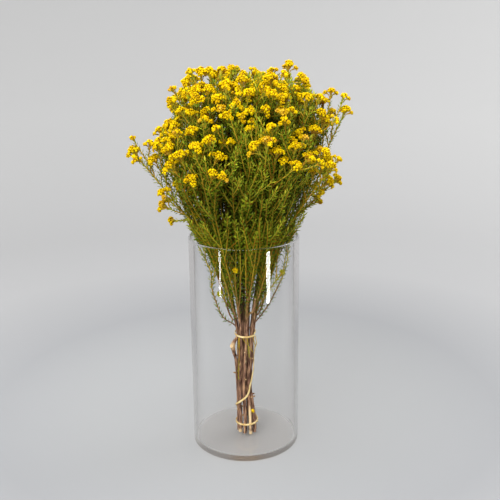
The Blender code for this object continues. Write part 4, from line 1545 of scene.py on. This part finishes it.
@dataclass
class GlassCylinder:
    """The straight glass cylinder, turned as one closed wall with a thick base."""

    form: GlassForm = GLASS
    sides: int = 144
    lip_steps: int = 8
    heel_steps: int = 6
    foot_steps: int = 1
    foot_grain: float = 0.45
    fold: float = math.radians(50)

    def profile(self) -> list[tuple[float, float]]:
        """Walk the wall's section from the base's middle, up outside and down inside."""
        form = self.form
        lip, inner, heel = form.wall / 2, form.radius - form.wall, form.heel
        rows = self.arc((form.radius - heel, heel), heel, -90, 0, self.heel_steps)
        rows += self.arc((form.radius - lip, form.height - lip), lip, 0, 180, self.lip_steps)
        rows += self.arc((inner - heel, form.floor + heel), heel, 0, -90, self.heel_steps)
        return rows

    def arc(self, middle: tuple[float, float], radius: float, start: float, end: float,
            steps: int) -> list[tuple[float, float]]:
        """Step along a part of a circle in the section, from one angle in degrees to another."""
        angles = [math.radians(start + (end - start) * step / steps) for step in range(steps + 1)]
        return [(middle[0] + radius * math.cos(angle), middle[1] + radius * math.sin(angle))
                for angle in angles]

    def make(self) -> Piece:
        """Build and dress the glass: clear all over, and rough where its foot stands."""
        surface = Surface()
        rings = [surface.ring(UP * height, UP, [reach] * self.sides) for reach, height in self.profile()]
        for number, (low, high) in enumerate(zip(rings, rings[1:])):
            surface.bridge(low, high, 1 if number < self.foot_steps else 0)
        surface.lid(rings[0][::-1], 1)
        surface.lid(rings[-1])
        clear, worn = ClearGlass("soda_lime_glass"), ClearGlass("worn_foot", grain=self.foot_grain)
        return link("glass_cylinder", surface.mesh("glass_cylinder", [clear.make(), worn.make()], self.fold))


@dataclass
class ElasticBand:
    """The flat elastic band: a turn at each tie, and one run down the right side and across the front."""

    width: float = 0.0026
    thick: float = 0.0010
    clear: float = 0.0006
    step: float = math.radians(4)
    pitch: float = 0.0032
    turn_steps: int = 6
    unroll: float = 0.0130
    upper_turn: tuple[float, float] = (-300.0, 60.0)
    lower_turn: tuple[float, float] = (-275.0, -635.0)
    run: Table = ((0.1480, 88.0), (0.1375, 102.0), (0.1270, 106.0), (0.1140, 98.0), (0.1000, 74.0),
                  (0.0850, 50.0), (0.0690, 22.0), (0.0590, -25.0), (0.0500, -75.0), (0.0410, -130.0),
                  (0.0330, -185.0), (0.0270, -235.0))
    section: Table = ((1.0, 0.45), (0.80, 1.0), (0.30, 0.86), (-0.30, 0.86), (-0.80, 1.0), (-1.0, 0.45),
                      (-1.0, -0.45), (-0.80, -1.0), (0.80, -1.0), (1.0, -0.45))
    fold: float = math.radians(60)

    def reach(self, height: float) -> float:
        """Give the radius round the bundle's middle that clears every stem at a height."""
        middle = Vector((between(BUNDLE.middle, height), 0.0, height))
        return max((BUNDLE.place(index, height) - middle).length + BUNDLE.radius(index, height)
                   for index in range(BUNDLE.outer))

    def route(self) -> Route:
        """Lay the band's way round the bundle out flat: x is the way round and z is the height."""
        rows = []
        ties = ((BUNDLE.upper_tie, self.upper_turn), (BUNDLE.lower_tie, self.lower_turn))
        for middle, (start, end) in ties:
            for step in range(self.turn_steps + 1):
                share = step / self.turn_steps
                rows.append((middle + self.pitch * (0.5 - share), start + (end - start) * share))
            if middle == BUNDLE.upper_tie:
                rows += self.run
        return through([Vector((math.radians(turn) * self.unroll, 0.0, height)) for height, turn in rows])

    def make(self) -> Piece:
        """Build and dress the band."""
        route = self.route()
        count = round(route.length / (self.step * self.unroll))
        centres, outs = [], []
        for place in (route.at(route.length * step / count) for step in range(count + 1)):
            angle = place.x / self.unroll - math.pi / 2
            out = Vector((math.cos(angle), math.sin(angle), 0.0))
            reach = (self.reach(place.z) + self.clear) / math.cos(self.step / 2) + self.thick / 2
            centres.append(Vector((between(BUNDLE.middle, place.z), 0.0, place.z)) + out * reach)
            outs.append(out)
        surface, rings = Surface(), []
        for index, (centre, out) in enumerate(zip(centres, outs)):
            before, after = centres[max(index - 1, 0)], centres[min(index + 1, len(centres) - 1)]
            along = (after - before).normalized()
            wide = along.cross(out).normalized()
            thick = wide.cross(along).normalized()
            rings.append(list(range(len(surface.points), len(surface.points) + len(self.section))))
            for wide_share, thick_share in self.section:
                surface.points.append(centre + wide * wide_share * self.width / 2
                                      + thick * thick_share * self.thick / 2)
        surface.skin(rings[::-1])
        return link("elastic_band", surface.mesh("elastic_band", [PaleElastic("natural_rubber").make()],
                                                 self.fold))


@dataclass
class Woodwork:
    """The wood of one stem: its bark, its side shoots and the green cups under its heads."""

    index: int
    sides: tuple[tuple[Kind, int], ...] = ((Kind.STEM, 14), (Kind.SHOOT, 8), (Kind.TWIG, 7), (Kind.STUB, 10),
                                           (Kind.SPRIG, 5), (Kind.WISP, 6))
    steps: tuple[tuple[Kind, float], ...] = ((Kind.STEM, 0.0035), (Kind.SHOOT, 0.0055), (Kind.TWIG, 0.0055),
                                             (Kind.STUB, 0.0030), (Kind.SPRIG, 0.0070), (Kind.WISP, 0.0030))
    slimness: float = 0.84
    wobble: float = 0.0007
    overlap: float = 0.0020
    # Strength of the painted shade on wood inside the bunch.
    shade: float = 0.75
    ruts: float = 0.10
    rut_length: float = 90.0
    rut_turns: float = 1.6
    cup: Table = ((0.20, 0.20), (0.48, 0.36), (0.85, 0.46), (1.12, 0.38), (1.30, 0.16))
    stalk: tuple[float, float, float] = (0.0007, 0.0006, 0.0016)
    stalk_sides: int = 5
    stalk_root: float = 0.9
    stalk_knee: float = 0.2
    stalk_swing: float = 0.35
    stalk_end: float = 0.15
    bark_below: float = 0.172
    skin_above: float = 0.258
    stem_age: float = 0.18
    stub_age: float = 0.8
    wisp_age: float = 0.12
    peels: tuple[tuple[Place, Place, float], ...] = (
        ((0.0056, -0.0140, 0.034), (0.0028, 0.0060, 0.0220), 1.0),
        ((-0.0200, -0.0100, 0.1400), (0.0075, 0.0070, 0.0075), 0.55),
        ((0.0010, -0.0140, 0.1180), (0.0018, 0.0050, 0.0040), 0.5))
    peel_edge: float = 2.0
    pale_feet: tuple[int, ...] = (6, 8, 3)
    pale_foot: float = 0.0045
    pale_share: float = 0.8
    fold: float = math.radians(50)

    def age(self, shoot: Shoot, distance: float) -> float:
        """Tell how old the skin is, from nought on green growth to one on bark."""
        fixed = {Kind.STUB: self.stub_age, Kind.WISP: self.wisp_age, Kind.SPRIG: 0.0}
        if shoot.kind in fixed:
            return fixed[shoot.kind]
        height = shoot.route.at(distance).z
        grown = 1.0 - (height - self.bark_below) / (self.skin_above - self.bark_below)
        least = self.stem_age if shoot.kind is Kind.STEM else 0.0
        return min(max(grown, least), 1.0)

    def peel(self, place: Vector) -> float:
        """Tell how far the bark is peeled off at a place: down the front, on the knuckle and at some feet."""
        share = 0.0
        for middle, reach, most in self.peels:
            parts = [(have - want) / size for have, want, size in zip(place, middle, reach)]
            inside = (1.0 - sum(part * part for part in parts)) * self.peel_edge
            share = max(share, most * min(max(inside, 0.0), 1.0))
        pale = BUNDLE.foot(self.index) + self.pale_foot
        return max(share, self.pale_share) if self.index in self.pale_feet and place.z < pale else share

    def radii(self, shoot: Shoot, distance: float, count: int) -> list[float]:
        """Give a ring's radii: rutted on bark, round on young growth.

        Args:
            shoot: What the ring is on.
            distance: How far along it.
            count: How many points the ring has.

        Returns:
            One radius for each point.
        """
        size = shoot.radius(min(max(distance, 0.0), shoot.route.length))
        if shoot.kind in (Kind.SHOOT, Kind.TWIG):
            return [size * self.slimness] * count
        if shoot.kind in (Kind.SPRIG, Kind.WISP):
            return [size] * count
        radii = []
        for side in range(count):
            angle = math.tau * side / count
            place = Vector((math.cos(angle) * self.rut_turns, math.sin(angle) * self.rut_turns + shoot.owner,
                            distance * self.rut_length))
            radii.append(size * (1.0 - self.ruts * (1.0 + noise.noise(place))))
        return radii

    def tube(self, surface: Surface, shoot: Shoot, leads: bool) -> None:
        """Add the tube of one stem, shoot, twig, stub, sprig or wisp, closed at both ends.

        Args:
            surface: The mesh that takes it.
            shoot: The shoot.
            leads: Whether it carries the stem on, so that it starts inside the stem's top.
        """
        count, step = dict(self.sides)[shoot.kind], dict(self.steps)[shoot.kind]
        start, length = -self.overlap if leads else 0.0, shoot.route.length
        stops = round((length - start) / step)
        rings = []
        for stop in range(stops + 1):
            distance = start + (length - start) * stop / stops
            place, heading = shoot.route.at(distance), shoot.route.heading(distance)
            if shoot.kind is Kind.STEM:
                unlike = Vector((self.index, 0.0, 0.0))
                place = BUNDLE.leant(self.index, place)
                place = place + noise.noise_vector(place * self.rut_length + unlike) * self.wobble
            # painted shade by how far inside the bunch the ring lies; none on the bark low down
            deep = self.shade * CROWN.depth(place) if place.z > self.bark_below else 0.0
            ring = surface.ring(place, heading, self.radii(shoot, distance, count),
                                age=self.age(shoot, distance), peel=0.0, deep=deep)
            if shoot.kind in (Kind.STEM, Kind.STUB):
                for point in ring:
                    surface.values["peel"][point] = self.peel(surface.points[point])
            rings.append(ring)
        if shoot.head:
            place, heading = shoot.route.at(length), shoot.route.heading(length)
            for up, reach in self.cup:
                rings.append(surface.ring(place + heading * shoot.head * up, heading,
                                          [shoot.head * reach] * count, age=0.0, peel=0.0, deep=0.0))
        surface.skin(rings, int(shoot.kind is Kind.STEM), int(shoot.kind is Kind.STUB))

    def side_stalk(self, surface: Surface, shoot: Shoot, head: Head) -> None:
        """Add the short stalk that carries a small side head off the main one's stalk."""
        end = shoot.route.length
        root = shoot.route.at(end - shoot.head * self.stalk_root)
        knee = shoot.route.at(end - shoot.head * self.stalk_knee)
        knee += (head.middle - knee) * self.stalk_swing
        places = [root, knee, head.middle - head.aim * head.reach * self.stalk_end]
        rings = []
        for place, radius, after, before in zip(places, self.stalk, places[1:] + places[-1:],
                                                places[:1] + places[:-1]):
            rings.append(surface.ring(place, (after - before).normalized(), [radius] * self.stalk_sides,
                                      age=0.0, peel=0.0, deep=0.0))
        surface.skin(rings)

    def make(self, stem: Shoot, materials: list[Material]) -> Piece:
        """Build and dress the wood of a stem and all that grows out of it."""
        surface = Surface()
        for shoot in stem.family():
            self.tube(surface, shoot, shoot is stem.leader)
            for head in shoot.bunch[1:]:
                self.side_stalk(surface, shoot, head)
        name = f"stem_{self.index + 1:02d}_wood"
        return link(name, surface.mesh(name, materials, self.fold))


@dataclass
class NeedleLeaves:
    """Needle leaves, set one by one up the shoots in one unbroken spiral."""

    length: float = 0.0073
    width: float = 0.0023
    keel: float = 0.0008
    bend: float = 0.0010
    widest: float = 0.58
    spacing: float = 0.0014
    # Strength of the painted shade on leaves inside the bunch.
    shade: float = 0.92
    turn: float = math.radians(137.5)
    swing: float = 0.3
    root_lean: float = math.radians(58)
    tip_lean: float = math.radians(28)
    tip_part: float = 0.80
    lean_swing: float = 0.45
    sizes: tuple[float, float] = (0.78, 1.08)
    stem_from: float = 0.186
    bare_share: float = 0.4
    least_bare: float = 0.003
    low_root: float = 0.180
    low_bare: float = 0.40
    under_head: float = 0.12
    scales: tuple[tuple[Kind, float], ...] = ((Kind.STEM, 0.90), (Kind.SHOOT, 1.0), (Kind.TWIG, 0.92),
                                              (Kind.SPRIG, 0.94), (Kind.WISP, 0.45))
    flowerless_scale: float = 1.18
    line_step: float = 0.004

    def leaf(self) -> Piece:
        """Build the one leaf that is repeated: a keeled needle that bends up towards its tip."""
        half, lift, widest = self.width / 2, self.bend * self.widest, self.length * self.widest
        corners = ((0.0, 0.0, 0.0), (half, lift, widest), (-half, lift, widest),
                   (0.0, lift - self.keel, widest), (0.0, self.bend, self.length))
        surface = Surface([Vector(corner) for corner in corners])
        surface.values["rise"] = [0.0, self.widest, self.widest, self.widest, 1.0]
        for side in range(3):
            after = (side + 1) % 3
            surface.lid([0, 1 + after, 1 + side])
            surface.lid([1 + side, 1 + after, 4])
        return link("leaf", surface.mesh("leaf", []))

    def bare(self, shoot: Shoot) -> float | None:
        """Tell how far up from its root a shoot is bare.

        Args:
            shoot: The shoot.

        Returns:
            The distance, or None where it has no leaves at all.
        """
        if shoot.kind is Kind.STUB or shoot.kind is Kind.WISP and not shoot.leafy_from:
            return None
        if shoot.kind is Kind.STEM:
            return self.stem_from - shoot.foot
        if shoot.kind is Kind.WISP:
            return shoot.route.length * shoot.leafy_from
        if shoot.kind is Kind.SHOOT and shoot.route.at(0.0).z < self.low_root:
            return shoot.route.length * self.low_bare
        return self.bare_share * (shoot.leafy_from or self.least_bare)

    def lines(self, stem: Shoot) -> Piece:
        """Draw a stem's leafy shoots as lines: radius is the leaves' size, and tilt carries their painted
        shade, by how far inside the bunch they lie.
        """
        data = bpy.data.curves.new("leafy_lines", "CURVE")
        data.dimensions = "3D"
        for shoot in stem.family():
            start = self.bare(shoot)
            if start is None:
                continue
            end = shoot.route.length + shoot.head * self.under_head
            count = max(2, round((end - start) / self.line_step))
            line = data.splines.new("POLY")
            line.points.add(count)
            for number, point in enumerate(line.points):
                place = shoot.route.at(start + (end - start) * number / count)
                point.co = (*place, 1.0)
                flowerless = shoot.kind is Kind.TWIG and not shoot.head and place.z > GLASS.height
                point.radius = self.flowerless_scale if flowerless else dict(self.scales)[shoot.kind]
                # the curve's tilt carries the painted shade on to the leaves
                point.tilt = self.shade * CROWN.depth(place)
        return link("leafy_lines", data)

    def tree(self) -> Tree:
        """Build the tree that sets the leaves out along the lines."""
        tree, give = new_tree("needle leaves up a shoot", {
            "Leaf": "Object", "Spacing": "Float", "Turn": "Float", "Root lean": "Float", "Tip lean": "Float",
            "Least size": "Float", "Most size": "Float", "Seed": "Int", "Finish": "Material"})
        seed = give["Seed"]
        along = add(tree, "GeometryNodeSplineParameter")
        tone = add(tree, CHANCE, {"Seed": seed}, out=1, data_type="FLOAT")
        # painted shade, read from the lines' tilt
        deep = add(tree, NAMED, {"Name": "tilt"}, data_type="FLOAT")
        spots = add(tree, "GeometryNodeResampleCurve", {"Curve": give["Geometry"], "Length": give["Spacing"]},
                    mode="LENGTH")
        for name, value in (("tone", tone), ("youth", along), ("deep", deep)):
            spots = add(tree, STORE, {"Geometry": spots, "Name": name, "Value": value}, data_type="FLOAT")
        upright = add(tree, ALIGN, {"Vector": add(tree, "GeometryNodeInputTangent")}, axis="Z")
        swing = add(tree, CHANCE, {2: -self.swing, 3: self.swing, "Seed": seed}, out=1, data_type="FLOAT")
        spin = add(tree, MATHS, (add(tree, "GeometryNodeInputIndex"), give["Turn"], swing),
                   operation="MULTIPLY_ADD")
        spun = self.rotate(tree, upright, "Z", spin)
        lean = add(tree, "ShaderNodeMapRange", {"Value": along, "From Min": self.tip_part, "From Max": 1.0,
                                                "To Min": give["Root lean"], "To Max": give["Tip lean"]})
        loose = add(tree, MATHS, (swing, self.lean_swing, lean), operation="MULTIPLY_ADD")
        leant = self.rotate(tree, spun, "X", loose)
        size = add(tree, CHANCE, {2: give["Least size"], 3: give["Most size"], "Seed": seed}, out=1,
                   data_type="FLOAT")
        scale = add(tree, MATHS, (size, add(tree, "GeometryNodeInputRadius")), operation="MULTIPLY")
        leaf = add(tree, "GeometryNodeObjectInfo", {"Object": give["Leaf"]}, out="Geometry")
        leaves = add(tree, ON_POINTS, {"Points": spots, "Instance": leaf, "Rotation": leant, "Scale": scale})
        end_tree(tree, leaves, give["Finish"])
        return tree

    def rotate(self, tree: Tree, rotation: Socket, axis: str, angle: Socket) -> Socket:
        """Turn a rotation further, about one of its own axes.

        Args:
            tree: The tree.
            rotation: The rotation so far.
            axis: X, Y or Z.
            angle: By how much, in radians.

        Returns:
            The new rotation.
        """
        about = add(tree, "ShaderNodeCombineXYZ", {axis: angle})
        by = add(tree, "FunctionNodeEulerToRotation", (about,))
        return add(tree, "FunctionNodeRotateRotation", (rotation, by), rotation_space="LOCAL")

    def make(self, index: int, stem: Shoot, tree: Tree, leaf: Piece, finish: Material) -> Piece:
        """Set out and dress the leaves of one stem, with the tree, the leaf and the finish that all share."""
        values = {"Leaf": leaf, "Spacing": self.spacing, "Turn": self.turn, "Root lean": self.root_lean,
                  "Tip lean": self.tip_lean, "Least size": self.sizes[0], "Most size": self.sizes[1],
                  "Seed": index, "Finish": finish}
        return set_out(f"stem_{index + 1:02d}_leaves", self.lines(stem), tree, values)


@dataclass
class FlowerHeads:
    """Domed heads of small buds, packed in a spiral from the top of each head down its sides."""

    bud_size: float = 0.00165
    bud_room: float = 2.7
    bud_seat: float = 0.8
    sizes: tuple[float, float] = (0.84, 1.16)
    fewest_buds: int = 7
    most_buds: int = 48
    cover: float = 6.2
    spread: float = 1.34
    turn: float = math.radians(137.508)
    squash: float = 0.80
    lump_depth: float = 0.34
    lump_scale: float = 210.0
    lump_tones: tuple[float, float] = (0.36, 0.60)
    jitter: float = 0.05
    ripe_share: float = 0.06
    ripeness: tuple[float, float] = (0.25, 0.6)
    spot_share: float = 0.03
    spot_ripeness: float = 0.85
    greenness: float = 0.75
    green_stems: tuple[int, ...] = (5, 8)
    green_from: float = 0.1
    bud_sides: int = 5
    bud_rows: tuple[Place, ...] = ((-0.70, 0.50, 0.0), (0.05, 1.0, 0.45), (0.68, 0.70, 1.0))
    bud_dimple: tuple[float, float] = (0.56, 0.7)
    fold: float = math.radians(75)

    def bud(self) -> Piece:
        """Build the one bud that is repeated, a button with a dimpled top, from height, reach and rise."""
        surface = Surface()
        rings = [surface.ring(UP * height, UP, [reach] * self.bud_sides, rise=rise)
                 for height, reach, rise in self.bud_rows]
        for low, high in zip(rings, rings[1:]):
            surface.bridge(low, high)
        surface.lid(rings[0][::-1])
        dimple, rise = self.bud_dimple
        surface.points.append(UP * dimple)
        surface.values["rise"].append(rise)
        for side in range(self.bud_sides):
            surface.lid([rings[-1][side], rings[-1][(side + 1) % self.bud_sides], len(surface.points) - 1])
        return link("bud", surface.mesh("bud", [], self.fold))

    def seats(self, index: int, stem: Shoot) -> Piece:
        """Place one point for each head of a stem, with its aim, reach, count of buds, spin and ripeness."""
        draw = random.Random(index)
        heads = [head for shoot in stem.family() for head in shoot.bunch]
        mesh = bpy.data.meshes.new("head_seats")
        mesh.from_pydata([tuple(head.middle) for head in heads], [], [])
        aims = np.array([tuple(head.aim) for head in heads])
        mesh.attributes.new("aim", "FLOAT_VECTOR", "POINT").data.foreach_set("vector", aims.ravel())
        rows: dict[str, list[float]] = {"reach": [], "buds": [], "spin": [], "ripe": [], "green": []}
        for head in heads:
            reach = head.reach - self.bud_size * self.bud_seat
            wanted = round(self.cover * (reach / self.bud_size) ** 2 / self.bud_room)
            rows["reach"].append(reach)
            rows["buds"].append(min(max(wanted, self.fewest_buds), self.most_buds))
            rows["spin"].append(draw.uniform(0.0, math.tau))
            rows["ripe"].append(draw.uniform(*self.ripeness) if draw.random() < self.ripe_share else 0.0)
            green = index in self.green_stems and self.green_from < head.middle.z < GLASS.height
            rows["green"].append(self.greenness if green else 0.0)
        for name, values in rows.items():
            mesh.attributes.new(name, "FLOAT", "POINT").data.foreach_set("value", values)
        return link("head_seats", mesh)

    def spiral(self, tree: Tree, give: dict[str, Socket], number: Socket, buds: Socket) -> Socket:
        """Lay each bud out on the upper part of a ball of radius one, in one even spiral.

        Args:
            tree: The tree.
            give: Its inputs.
            number: The bud's number.
            buds: How many buds its head has.

        Returns:
            The bud's place on the ball.
        """
        middle = add(tree, MATHS, (number, 0.5), operation="ADD")
        share = add(tree, MATHS, (middle, buds), operation="DIVIDE")
        drop = add(tree, MATHS, (share, give["Spread"]), operation="MULTIPLY")
        height = add(tree, MATHS, (1.0, drop), operation="SUBTRACT")
        square = add(tree, MATHS, (height, 2.0), operation="POWER")
        rest = add(tree, MATHS, (1.0, square), operation="SUBTRACT")
        flat = add(tree, MATHS, (rest,), operation="SQRT")
        spin = add(tree, NAMED, {"Name": "spin"}, data_type="FLOAT")
        angle = add(tree, MATHS, (number, self.turn, spin), operation="MULTIPLY_ADD")
        place = {"Z": add(tree, MATHS, (height, give["Squash"]), operation="MULTIPLY")}
        for axis, operation in (("X", "COSINE"), ("Y", "SINE")):
            part = add(tree, MATHS, (angle,), operation=operation)
            place[axis] = add(tree, MATHS, (flat, part), operation="MULTIPLY")
        return add(tree, "ShaderNodeCombineXYZ", place)

    def lumps(self, tree: Tree, give: dict[str, Socket], seat: Socket, reach: Socket, aim: Socket,
              centre: Socket) -> tuple[Socket, Socket]:
        """Turn a bud's place to its head's aim, sink it where the head has a hollow, and shake it a little.

        Args:
            tree: The tree.
            give: Its inputs.
            seat: The bud's place on the ball.
            reach: The head's radius.
            aim: Its direction.
            centre: Its middle.

        Returns:
            The bud's place on its head, and how far it stands out of the hollows, which also sets its painted
            light and shade.
        """
        sized = add(tree, VECTORS, {0: seat, "Scale": reach}, operation="SCALE")
        upright = add(tree, ALIGN, {"Vector": aim}, axis="Z")
        turned = add(tree, "FunctionNodeRotateVector", {"Vector": sized, "Rotation": upright})
        spot = add(tree, VECTORS, (turned, centre), operation="ADD")
        lump = add(tree, "ShaderNodeTexNoise", {"Vector": spot, "Scale": give["Lump scale"], "Detail": 0.0})
        raised = add(tree, "ShaderNodeMapRange", {"Value": lump, "From Min": self.lump_tones[0],
                                                  "From Max": self.lump_tones[1]})
        hollow = add(tree, MATHS, (1.0, raised), operation="SUBTRACT")
        sunk = add(tree, MATHS, (hollow, give["Lump depth"]), operation="MULTIPLY")
        left = add(tree, MATHS, (1.0, sunk), operation="SUBTRACT")
        outward = add(tree, VECTORS, {0: turned, "Scale": left}, operation="SCALE")
        shake = add(tree, CHANCE, {0: (-1.0, -1.0, -1.0), 1: (1.0, 1.0, 1.0), "Seed": give["Seed"]},
                    data_type="FLOAT_VECTOR")
        loose = add(tree, MATHS, (reach, give["Jitter"]), operation="MULTIPLY")
        shift = add(tree, VECTORS, {0: shake, "Scale": loose}, operation="SCALE")
        seated = add(tree, VECTORS, (outward, centre), operation="ADD")
        return add(tree, VECTORS, (seated, shift), operation="ADD"), raised

    def tree(self) -> Tree:
        """Build the tree that packs buds over the heads."""
        tree, give = new_tree("buds over a flower head", {
            "Bud": "Object", "Most buds": "Int", "Bud size": "Float", "Least size": "Float",
            "Most size": "Float", "Spread": "Float", "Squash": "Float", "Lump depth": "Float",
            "Lump scale": "Float", "Jitter": "Float", "Spots": "Float", "Seed": "Int", "Finish": "Material"})
        number, buds, reach, ripe = (add(tree, NAMED, {"Name": name}, data_type="FLOAT")
                                     for name in ("number", "buds", "reach", "ripe"))
        aim, centre = (add(tree, NAMED, {"Name": name}, data_type="FLOAT_VECTOR")
                       for name in ("aim", "middle"))
        here = add(tree, "GeometryNodeInputPosition")
        seats = add(tree, STORE, {"Geometry": give["Geometry"], "Name": "middle", "Value": here},
                    data_type="FLOAT_VECTOR")
        line = add(tree, "GeometryNodeMeshLine", {"Count": give["Most buds"]})
        line = add(tree, STORE, {"Geometry": line, "Name": "number",
                                 "Value": add(tree, "GeometryNodeInputIndex")}, data_type="FLOAT")
        lines = add(tree, ON_POINTS, {"Points": seats, "Instance": line})
        every = add(tree, REALIZE, {"Geometry": lines})
        surplus = add(tree, "FunctionNodeCompare", (number, buds), data_type="FLOAT",
                      operation="GREATER_EQUAL")
        spots = add(tree, "GeometryNodeDeleteGeometry", {"Geometry": every, "Selection": surplus},
                    domain="POINT")
        place, raised = self.lumps(tree, give, self.spiral(tree, give, number, buds), reach, aim, centre)
        # stored for the painted light on lumps and the painted shade in hollows
        spots = add(tree, STORE, {"Geometry": spots, "Name": "raised", "Value": raised}, data_type="FLOAT")
        spots = add(tree, "GeometryNodeSetPosition", {"Geometry": spots, "Position": place})
        tone = add(tree, CHANCE, {2: 0.0, 3: 1.0, "Seed": give["Seed"]}, out=1, data_type="FLOAT")
        few = add(tree, MATHS, (tone, give["Spots"]), operation="LESS_THAN")
        spotted = add(tree, MATHS, (few, self.spot_ripeness), operation="MULTIPLY")
        riper = add(tree, MATHS, (ripe, spotted), operation="MAXIMUM")
        for name, value in (("tone", tone), ("ripe", riper)):
            spots = add(tree, STORE, {"Geometry": spots, "Name": name, "Value": value}, data_type="FLOAT")
        outside = add(tree, VECTORS, (here, centre), operation="SUBTRACT")
        facing = add(tree, ALIGN, {"Vector": outside}, axis="Z")
        size = add(tree, CHANCE, {2: give["Least size"], 3: give["Most size"], "Seed": give["Seed"]}, out=1,
                   data_type="FLOAT")
        scale = add(tree, MATHS, (size, give["Bud size"]), operation="MULTIPLY")
        bud = add(tree, "GeometryNodeObjectInfo", {"Object": give["Bud"]}, out="Geometry")
        packed = add(tree, ON_POINTS, {"Points": spots, "Instance": bud, "Rotation": facing, "Scale": scale})
        end_tree(tree, packed, give["Finish"])
        return tree

    def make(self, index: int, stem: Shoot, tree: Tree, bud: Piece, finish: Material) -> Piece:
        """Pack and dress the heads of one stem, with the tree, the bud and the finish that all share."""
        values = {"Bud": bud, "Most buds": self.most_buds, "Bud size": self.bud_size,
                  "Least size": self.sizes[0], "Most size": self.sizes[1], "Spread": self.spread,
                  "Squash": self.squash, "Lump depth": self.lump_depth, "Lump scale": self.lump_scale,
                  "Jitter": self.jitter, "Spots": self.spot_share, "Seed": index, "Finish": finish}
        return set_out(f"stem_{index + 1:02d}_heads", self.seats(index, stem), tree, values)


# Studio


@dataclass(frozen=True)
class Lamp:
    """A rectangular soft light: where it hangs and points, its width and height, and its power in watts."""

    name: str
    place: Place
    aim: Place
    size: tuple[float, float]
    power: float
    mirrored_only: bool = False

    def hang(self) -> None:
        """Hang it, unseen by the camera. A strip for mirror images lights no matt surface."""
        data = bpy.data.lights.new(self.name, "AREA")
        data.shape, data.energy = "RECTANGLE", self.power
        data.size, data.size_y = self.size
        lamp = link(self.name, data)
        lamp.visible_camera = False
        lamp.visible_diffuse = not self.mirrored_only
        lamp.location = self.place
        lamp.rotation_euler = (Vector(self.aim) - Vector(self.place)).to_track_quat("-Z", "Y").to_euler()


@dataclass
class Studio:
    """The camera, the paper sweep and the soft lights."""

    sensor: float = 36.0
    focal_pixels: float = 762.34
    frame_pixels: int = 500
    nearest: float = 0.01
    camera_place: Place = (0.0, -0.99532, 0.55778)
    camera_turns: tuple[float, float, float] = (-0.4716, 90.0 - 15.6577, -0.5178)
    floor_rings: tuple[float, float] = (0.25, 0.6)
    floor_reach: float = 1.2
    floor_gap: float = 0.0004
    bend: float = 1.4
    wall_top: float = 1.6
    sweep_sides: int = 96
    bend_steps: int = 16
    fold: float = math.radians(60)
    air: tuple[float, float, float, float] = (1.0, 1.0, 1.0, 1.0)
    air_strength: float = 0.44
    lamps: tuple[Lamp, ...] = (
        Lamp("top_box", (-0.20, -0.45, 2.10), (0.0, 0.0, 0.30), (2.2, 2.2), 66.0),
        Lamp("front_box", (-0.7, -1.9, 1.7), (0.0, 0.0, 0.35), (1.8, 1.8), 44.0),
        Lamp("back_box", (1.6, 0.9, 2.2), (0.8, 2.0, 0.2), (1.6, 1.6), 30.0),
        Lamp("left_strip", (-0.44, -0.415, 0.180), (0.0, 0.0, 0.180), (0.05, 0.13), 0.55, True),
        Lamp("right_strip", (0.44, -0.42, 0.168), (0.0, 0.0, 0.168), (0.09, 0.15), 1.90, True))

    def camera(self) -> None:
        """Stand the camera where the photograph was taken from."""
        data = bpy.data.cameras.new("camera")
        data.lens = self.sensor * self.focal_pixels / self.frame_pixels
        data.clip_start = self.nearest
        camera = link("camera", data)
        heading, pitch, roll = (math.radians(turn) for turn in self.camera_turns)
        camera.matrix_world = (Matrix.Translation(self.camera_place) @ Matrix.Rotation(heading, 4, "Z")
                               @ Matrix.Rotation(pitch, 4, "X") @ Matrix.Rotation(roll, 4, "Z"))
        bpy.context.scene.camera = camera

    def sweep(self) -> None:
        """Lay the paper: flat under the vase, and bent up to a wall all round."""
        surface = Surface()
        rows = [(reach, 0.0) for reach in self.floor_rings]
        for step in range(self.bend_steps + 1):
            angle = math.pi / 2 * step / self.bend_steps
            rows.append((self.floor_reach + self.bend * math.sin(angle), self.bend * (1.0 - math.cos(angle))))
        rows.append((self.floor_reach + self.bend, self.wall_top))
        rings = [surface.ring(UP * (height - self.floor_gap), UP, [reach] * self.sweep_sides)
                 for reach, height in rows]
        for low, high in zip(rings, rings[1:]):
            surface.bridge(high, low)
        surface.lid(rings[0])
        link("paper_sweep", surface.mesh("paper_sweep", [Paper("matt_paper").make()], self.fold))

    def make(self) -> None:
        """Set the studio up."""
        self.camera()
        self.sweep()
        world = bpy.data.worlds.new("studio_air")
        world.use_nodes = True
        background = world.node_tree.nodes["Background"].inputs
        background["Color"].default_value = self.air
        background["Strength"].default_value = self.air_strength
        bpy.context.scene.world = world
        bpy.context.scene.view_settings.view_transform = "Standard"
        for lamp in self.lamps:
            lamp.hang()


def place_piece(piece: Piece, node: str) -> None:
    """Tie a piece to the frame, in place of its solid, and report it."""
    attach(piece, BODY)
    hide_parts(node)
    LOG.info("%s: %d faces", piece.name, len(piece.data.polygons))


def main() -> None:
    """Grow and dress the bunch, the band and the glass, then set the studio up."""
    logging.basicConfig(level=logging.INFO)
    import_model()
    growth = Growth(GrowthRule())
    stems = growth.grow()
    ExtraRule().grow(growth)
    for name, rule in SPRIG_RULES:
        LOG.info("%d %s sprigs", rule.grow(stems, growth.crowd), name)
    LOG.info("%d heads", HeadRule().split(stems))

    place_piece(GlassCylinder().make(), "vase")
    place_piece(ElasticBand().make(), "binding_band")
    wood = [Bark("phylica_bark").make(), CutWood("cut_wood").make()]
    leaf_finish, bud_finish = NeedleLeaf("needle_leaf").make(), Floret("yellow_floret").make()
    leaves, heads = NeedleLeaves(), FlowerHeads()
    leaf_tree, head_tree, leaf, bud = leaves.tree(), heads.tree(), leaves.leaf(), heads.bud()
    for index, stem in enumerate(stems):
        node = f"stem_{index + 1:02d}"
        place_piece(Woodwork(index).make(stem, wood), node)
        place_piece(leaves.make(index, stem, leaf_tree, leaf, leaf_finish), node)
        place_piece(heads.make(index, stem, head_tree, bud, bud_finish), node)
    for pattern in (leaf, bud):
        bpy.data.objects.remove(pattern)
    Studio().make()


if __name__ == "__main__":
    main()
